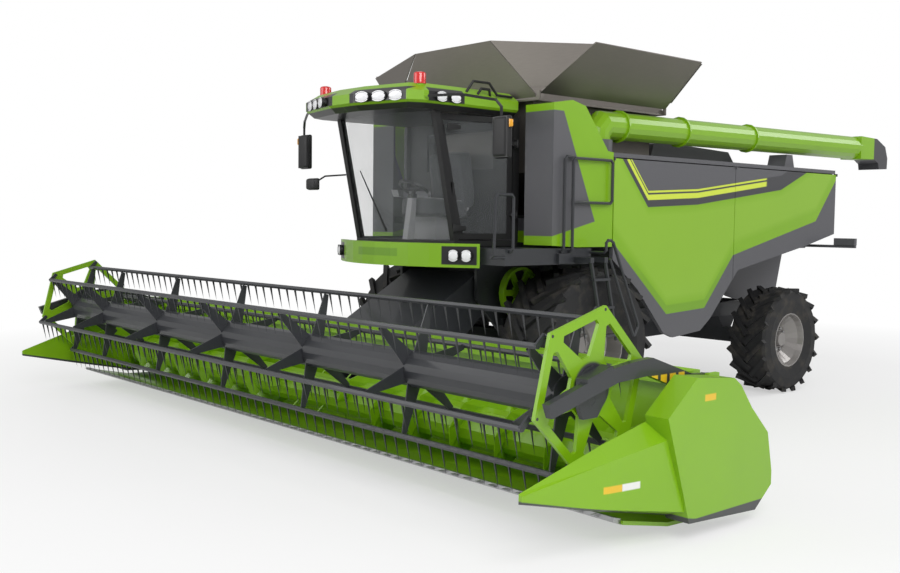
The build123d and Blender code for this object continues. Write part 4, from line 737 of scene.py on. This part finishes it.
# %% Mirrors
MIRROR_SIZE = (0.085, 0.250, 0.450)
MIRROR_PLACE = (3.183, 1.795, 3.195)
MIRROR_ROUNDING = 0.030
MIRROR_FRAME = 0.006
GLASS_SINK = 0.004
SMALLEST_GLASS = 0.02  # square metres, so that the rounding's faces stay black
mirrors = []
for side in (1, -1):
    shell = board(MIRROR_SIZE)
    tapered(shell, lambda middle, normal: normal.x > 0.9, (1, 0.80, 0.88))
    rounded(shell, MIRROR_ROUNDING, 4, 30)
    pick(shell, lambda middle, normal: normal.x < -0.99)
    bpy.ops.mesh.inset(thickness=MIRROR_FRAME)
    bpy.ops.mesh.extrude_region_move(TRANSFORM_OT_translate={"value": (GLASS_SINK, 0, 0)})
    bpy.ops.object.mode_set(mode="OBJECT")
    painted(shell, black_plastic, mirror_glass)
    for face in shell.data.polygons:
        if face.normal.x < -0.99 and face.area > SMALLEST_GLASS:
            face.material_index = 1
    shell.location = on_side(MIRROR_PLACE, side)
    mirrors.append(shell)
finished(joined(mirrors), "mirror_shells", "chassis")

# %% Beacons
BEACON_R = 0.066
BEACON_HEIGHT = 0.105
BEACON_PLACE = (3.500, 0.870, 3.835)
BEACON_STEPS = ((0.014, 0.86), (0.008, 0.55))  # how far up, and drawn in to which share
beacons = []
for side in (1, -1):
    clear_selection()
    bpy.ops.mesh.primitive_cylinder_add(vertices=32, radius=BEACON_R, depth=BEACON_HEIGHT)
    dome = bpy.context.object
    pick(dome, lambda middle, normal: normal.z > 0.9)
    for rise, share in BEACON_STEPS:
        bpy.ops.mesh.extrude_region_move(TRANSFORM_OT_translate={"value": (0, 0, rise)})
        bpy.ops.transform.resize(value=(share, share, 1))
    bpy.ops.object.mode_set(mode="OBJECT")
    dome.location = on_side(BEACON_PLACE, side)
    beacons.append(dome)
finished(joined(beacons), "beacon_domes", "chassis", red_lens)
print("mirrors and beacons", len(mirrors), len(beacons))

# %% [markdown]
# ### Driver's seat
# Foam under stretched cloth bulges between its seams and pulls in at its corners. A cube is
# cut into a grid, its middle is pushed out, and a subdivision surface rounds it. Two sewn
# channels run along it, where the foam is pulled down.


# %% Seat cushions
def cloth(name, colour):
    paint = Paint(name)
    weave = paint.node("ShaderNodeTexVoronoi", {}, Vector=paint.place(), Scale=420.0)
    soft = paint.noise(5.0, 3.0)
    base = paint.blend(soft, scaled(colour, 0.8), scaled(colour, 1.25))
    paint.set(Base_Color=base, Roughness=soft * 0.08 + 0.84, Sheen_Weight=0.25)
    return paint.bump(weave, 0.0008, 0.5)


seat_cloth = cloth("seat_cloth", (0.060, 0.062, 0.068, 1))
CROWN = 0.022
CHANNEL_DEPTH = 0.010
# shares of the cushion's half width
CHANNEL_PLACE = 0.58
CHANNEL_HALF_WIDTH = 0.10


def cushion(name, size, place, lean):
    """A crowned cushion with two channels, turned by an angle about the left axis."""
    piece = board(size)
    bpy.ops.object.mode_set(mode="EDIT")
    bpy.ops.mesh.select_all(action="SELECT")
    bpy.ops.mesh.subdivide(number_cuts=6)
    bpy.ops.object.mode_set(mode="OBJECT")
    for vertex in piece.data.vertices:
        x, y, z = (vertex.co[k] / (size[k] / 2) for k in range(3))
        crown = (1 - x**4) * (1 - y**4)
        channel = CHANNEL_DEPTH * max(0, 1 - abs(abs(y) - CHANNEL_PLACE) / CHANNEL_HALF_WIDTH)
        vertex.co.z += (CROWN * crown - channel * (1 - x**6)) * z
        vertex.co.x *= 1 + 0.05 * (1 - y**2) * (1 - abs(z)) - 0.02 * abs(y) ** 6
        vertex.co.y *= 1 + 0.04 * (1 - x**2) * (1 - abs(z)) - 0.02 * abs(x) ** 6
    round_off = piece.modifiers.new("foam", "SUBSURF")
    round_off.levels = round_off.render_levels = 2
    bpy.context.view_layer.objects.active = piece
    bpy.ops.object.modifier_apply(modifier="foam")
    piece.rotation_euler = (0, lean, 0)
    piece.location = place
    finished(piece, name, "chassis", seat_cloth, smooth=60)
    return piece


cushion("seat_cushion", (0.60, 0.56, 0.19), (2.530, 0, 2.490), radians(-3))
seat_back = cushion("seat_backrest", (0.66, 0.56, 0.20), (2.260, 0, 2.820), radians(-82))
print("seat", [round(v, 3) for v in seat_back.dimensions])

# %% [markdown]
# ### Wheel nuts
# Ten nuts hold each rim to its hub. Each is a short hexagonal prism with a small chamfer, and
# they stand on a circle round the middle of the rim's box.


# %% Wheel nuts
NUTS = 10
NUT_RING = 0.150
NUT_R = 0.021
NUT_HEIGHT = 0.030
NUT_STANDING = 0.012  # the nut's middle, out from the disc
NUT_CHAMFER = 0.003
# half track, and how far out from there the rim's disc has its outer face
DISC_FACES = {"rear": 1.530 + 0.060, "front": 1.350 + 0.040}


def wheel_nuts(rim, body, face_place, outward):
    """A ring of nuts on a rim's disc, as one piece."""
    low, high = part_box(rim)
    middle = [(a + b) / 2 for a, b in zip(low, high)]
    nuts = []
    for turn in range(NUTS):
        angle = 2 * pi * turn / NUTS
        clear_selection()
        bpy.ops.mesh.primitive_cylinder_add(vertices=6, radius=NUT_R, depth=NUT_HEIGHT)
        nut = bpy.context.object
        rounded(nut, NUT_CHAMFER, 1, 60)
        nut.rotation_euler = (pi / 2, 0, 0)
        nut.location = (
            middle[0] + NUT_RING * cos(angle),
            face_place + outward * NUT_STANDING,
            middle[2] + NUT_RING * sin(angle),
        )
        nuts.append(nut)
    finished(joined(nuts), f"{body}_nuts", body, bright_steel)


for side, outward in (("left", 1), ("right", -1)):
    for axle, face in DISC_FACES.items():
        wheel_nuts(f"{side}_{axle}_rim", f"{side}_{axle}_wheel", outward * face, outward)
print("wheel nuts on four rims")

# %% [markdown]
# ### Side markers
# A small amber marker sits on the outer edge of each mirror. A cube with a narrower outer face
# and rounded edges is enough at this size.

# %% Side markers
MARKER_SIZE = (0.040, 0.030, 0.085)
MARKER_PLACE = (MIRROR_PLACE[0], 1.932, 3.330)
markers = []
for side in (1, -1):
    marker = board(MARKER_SIZE)
    tapered(marker, lambda middle, normal: normal.y * side > 0.9, (0.7, 1, 0.8))
    rounded(marker, 0.004, 2, 30)
    marker.location = on_side(MARKER_PLACE, side)
    markers.append(marker)
finished(joined(markers), "side_markers", "chassis", amber_lens)
print("side markers", len(markers))

# %% [markdown]
# ### Wiper
# A single arm sweeps the curved windshield. It is a slim straight bar that tapers to its end
# and stands about a centimetre off the glass. Its pivot isn't modelled.

# %% Wiper
WIPER_SIZE = (0.016, 0.022, 0.78)
WIPER_MIDDLE = (3.292, -0.200, 2.560)
WIPER_LEAN = (radians(24), radians(12), 0)
arm = board(WIPER_SIZE)
tapered(arm, lambda middle, normal: normal.z > 0.9, (0.6, 0.5, 1))
rounded(arm, 0.003, 2, 30)
arm.rotation_euler = WIPER_LEAN
arm.location = WIPER_MIDDLE
wiper_arm = finished(arm, "wiper_arm", "chassis", black_plastic)
print("wiper", [round(v, 3) for v in wiper_arm.dimensions])

# %% [markdown]
# ### Roof guards and the small front mirror
# Bent tubes guard the roof's edge on both sides. Each straight run is a cylinder with its ends
# rounded, so that two runs meet in a smooth knuckle. The small mirror that shows the header's
# corner is a rounded box on such a tube.


# %% Tubes
def tube_run(start, end, radius):
    """A straight tube with round ends between two places."""
    start, end = Vector(start), Vector(end)
    clear_selection()
    length = (end - start).length + 2 * radius
    bpy.ops.mesh.primitive_cylinder_add(vertices=16, radius=radius, depth=length)
    piece = bpy.context.object
    rounded(piece, radius * 0.9, 4, 60)
    piece.rotation_euler = (end - start).to_track_quat("Z", "Y").to_euler()
    piece.location = (start + end) / 2
    return piece


def tube_route(places, radius):
    return [tube_run(a, b, radius) for a, b in zip(places, places[1:])]


GUARD_TUBE = 0.014
OUTER_GUARD = (
    (2.95, 0.96, 3.70),
    (2.86, 1.01, 3.86),
    (2.62, 1.01, 3.86),
    (2.50, 1.01, 3.74),
    (2.25, 0.99, 3.74),
)
INNER_GUARD = ((2.78, 0.97, 3.70), (2.74, 1.01, 3.79), (2.62, 1.01, 3.79), (2.56, 0.97, 3.70))
guards = []
for side in (1, -1):
    for route in (OUTER_GUARD, INNER_GUARD):
        guards += tube_route([on_side(place, side) for place in route], GUARD_TUBE)
finished(joined(guards), "roof_guards", "chassis", black_plastic)
print("roof guards", len(guards))

# %% Front mirror
SMALL_MIRROR_SIZE = (0.075, 0.230, 0.150)
SMALL_MIRROR_PLACE = (3.560, -1.060, 2.760)
STALK_R = 0.010
STALK_ROUTE = ((3.555, -1.060, 2.760), (3.400, -1.020, 2.860), (3.200, -0.880, 2.880))
small_shell = board(SMALL_MIRROR_SIZE)
tapered(small_shell, lambda middle, normal: normal.x > 0.9, (1, 0.76, 0.80))
rounded(small_shell, 0.022, 3, 30)
small_shell.location = SMALL_MIRROR_PLACE
stalk = tube_route(STALK_ROUTE, STALK_R)
small_mirror = finished(joined([small_shell] + stalk), "small_mirror", "chassis", black_plastic)
print("small mirror", [round(v, 3) for v in small_mirror.dimensions])

# %% [markdown]
# ### Door hinge plates
# Glass is held by plates near its corners. One plate is a thin rounded board that narrows
# towards its rear end, and both move with the door.

# %% Hinge plates
HINGE_PLATE_SIZE = (0.170, 0.012, 0.085)
HINGE_PLATE_PLACES = ((3.060, 0.929, 3.360), (2.960, 0.929, 2.260))
DOOR_SLANT = radians(-8.5)
plates = []
for place in HINGE_PLATE_PLACES:
    plate = board(HINGE_PLATE_SIZE)
    tapered(plate, lambda middle, normal: normal.x < -0.9, (1, 1, 0.55))
    rounded(plate, 0.005, 3, 30)
    plate.rotation_euler = (0, 0, DOOR_SLANT)
    plate.location = place
    plates.append(plate)
finished(joined(plates), "door_plates", "cab_door", black_plastic)
print("hinge plates", len(plates))

# %% [markdown]
# ## Floor and light
# A pale floor and a soft overcast light: a large lamp above the camera, weaker ones from the
# other side and from behind, and an even world. Where the camera sees the floor, part of its
# shade is plain white, and far from the machine all of it is, so the shadow stays and the
# edge is lost.

# %% Floor
SHADOW_REACH = (6.5, 13.0)
NEAR_WHITE = 0.52  # share of plain white beside the machine
clear_selection()
bpy.ops.mesh.primitive_plane_add(size=120, location=(0, 0, -0.002))
floor = bpy.context.object
floor.name = "studio_floor"
floor_paint = Paint("studio_floor")
floor_paint.set(Base_Color=(0.86, 0.86, 0.86, 1), Roughness=0.9)
glow = floor_paint.node("ShaderNodeEmission", {}, Color=(1, 1, 1, 1), Strength=1.0)
ahead, left, _ = floor_paint.axes()
far = (ahead * ahead + left * left).math("SQRT")
share = floor_paint.ramp(far, *SHADOW_REACH) * (1 - NEAR_WHITE) + NEAR_WHITE
seen = floor_paint.node("ShaderNodeLightPath", {}, output="Is Camera Ray")
lit = Wire(floor_paint, floor_paint.shader.outputs[0])
mixed = floor_paint.node("ShaderNodeMixShader", {}, share * seen, lit, glow)
surface = floor_paint.tree.nodes["Material Output"].inputs["Surface"]
floor_paint.tree.links.new(mixed.socket, surface)
floor.data.materials.append(floor_paint.material)

# %% Lights
SKY_STRENGTH = 0.46
world = bpy.data.worlds.new("overcast")
bpy.context.scene.world = world
world.use_nodes = True
world_tree = world.node_tree
sky = world_tree.nodes["Background"]
sky.inputs["Color"].default_value = (1, 1, 1, 1)
sky.inputs["Strength"].default_value = SKY_STRENGTH
seen_sky = world_tree.nodes.new("ShaderNodeBackground")
seen_sky.inputs["Color"].default_value = (1, 1, 1, 1)
seen_sky.inputs["Strength"].default_value = 1.0
ray = world_tree.nodes.new("ShaderNodeLightPath")
choice = world_tree.nodes.new("ShaderNodeMixShader")
world_tree.links.new(ray.outputs["Is Camera Ray"], choice.inputs["Fac"])
world_tree.links.new(sky.outputs[0], choice.inputs[1])
world_tree.links.new(seen_sky.outputs[0], choice.inputs[2])
world_tree.links.new(choice.outputs[0], world_tree.nodes["World Output"].inputs["Surface"])

STUDIO_LAMPS = (
    # name, place, aimed at, size, power
    ("key", (9, 13, 11), (0, 0, 1.5), 9, 1500),
    ("fill", (14, -6, 7), (2, 0, 1), 9, 520),
    ("rear", (-10, 6, 9), (-2, 0, 2), 7, 460),
)
for name, place, target, size, power in STUDIO_LAMPS:
    bpy.ops.object.light_add(type="AREA", location=place)
    light = bpy.context.object
    light.name = name + "_lamp"
    light.data.size = size
    light.data.energy = power
    direction = Vector(target) - Vector(place)
    light.rotation_euler = direction.to_track_quat("-Z", "Y").to_euler()
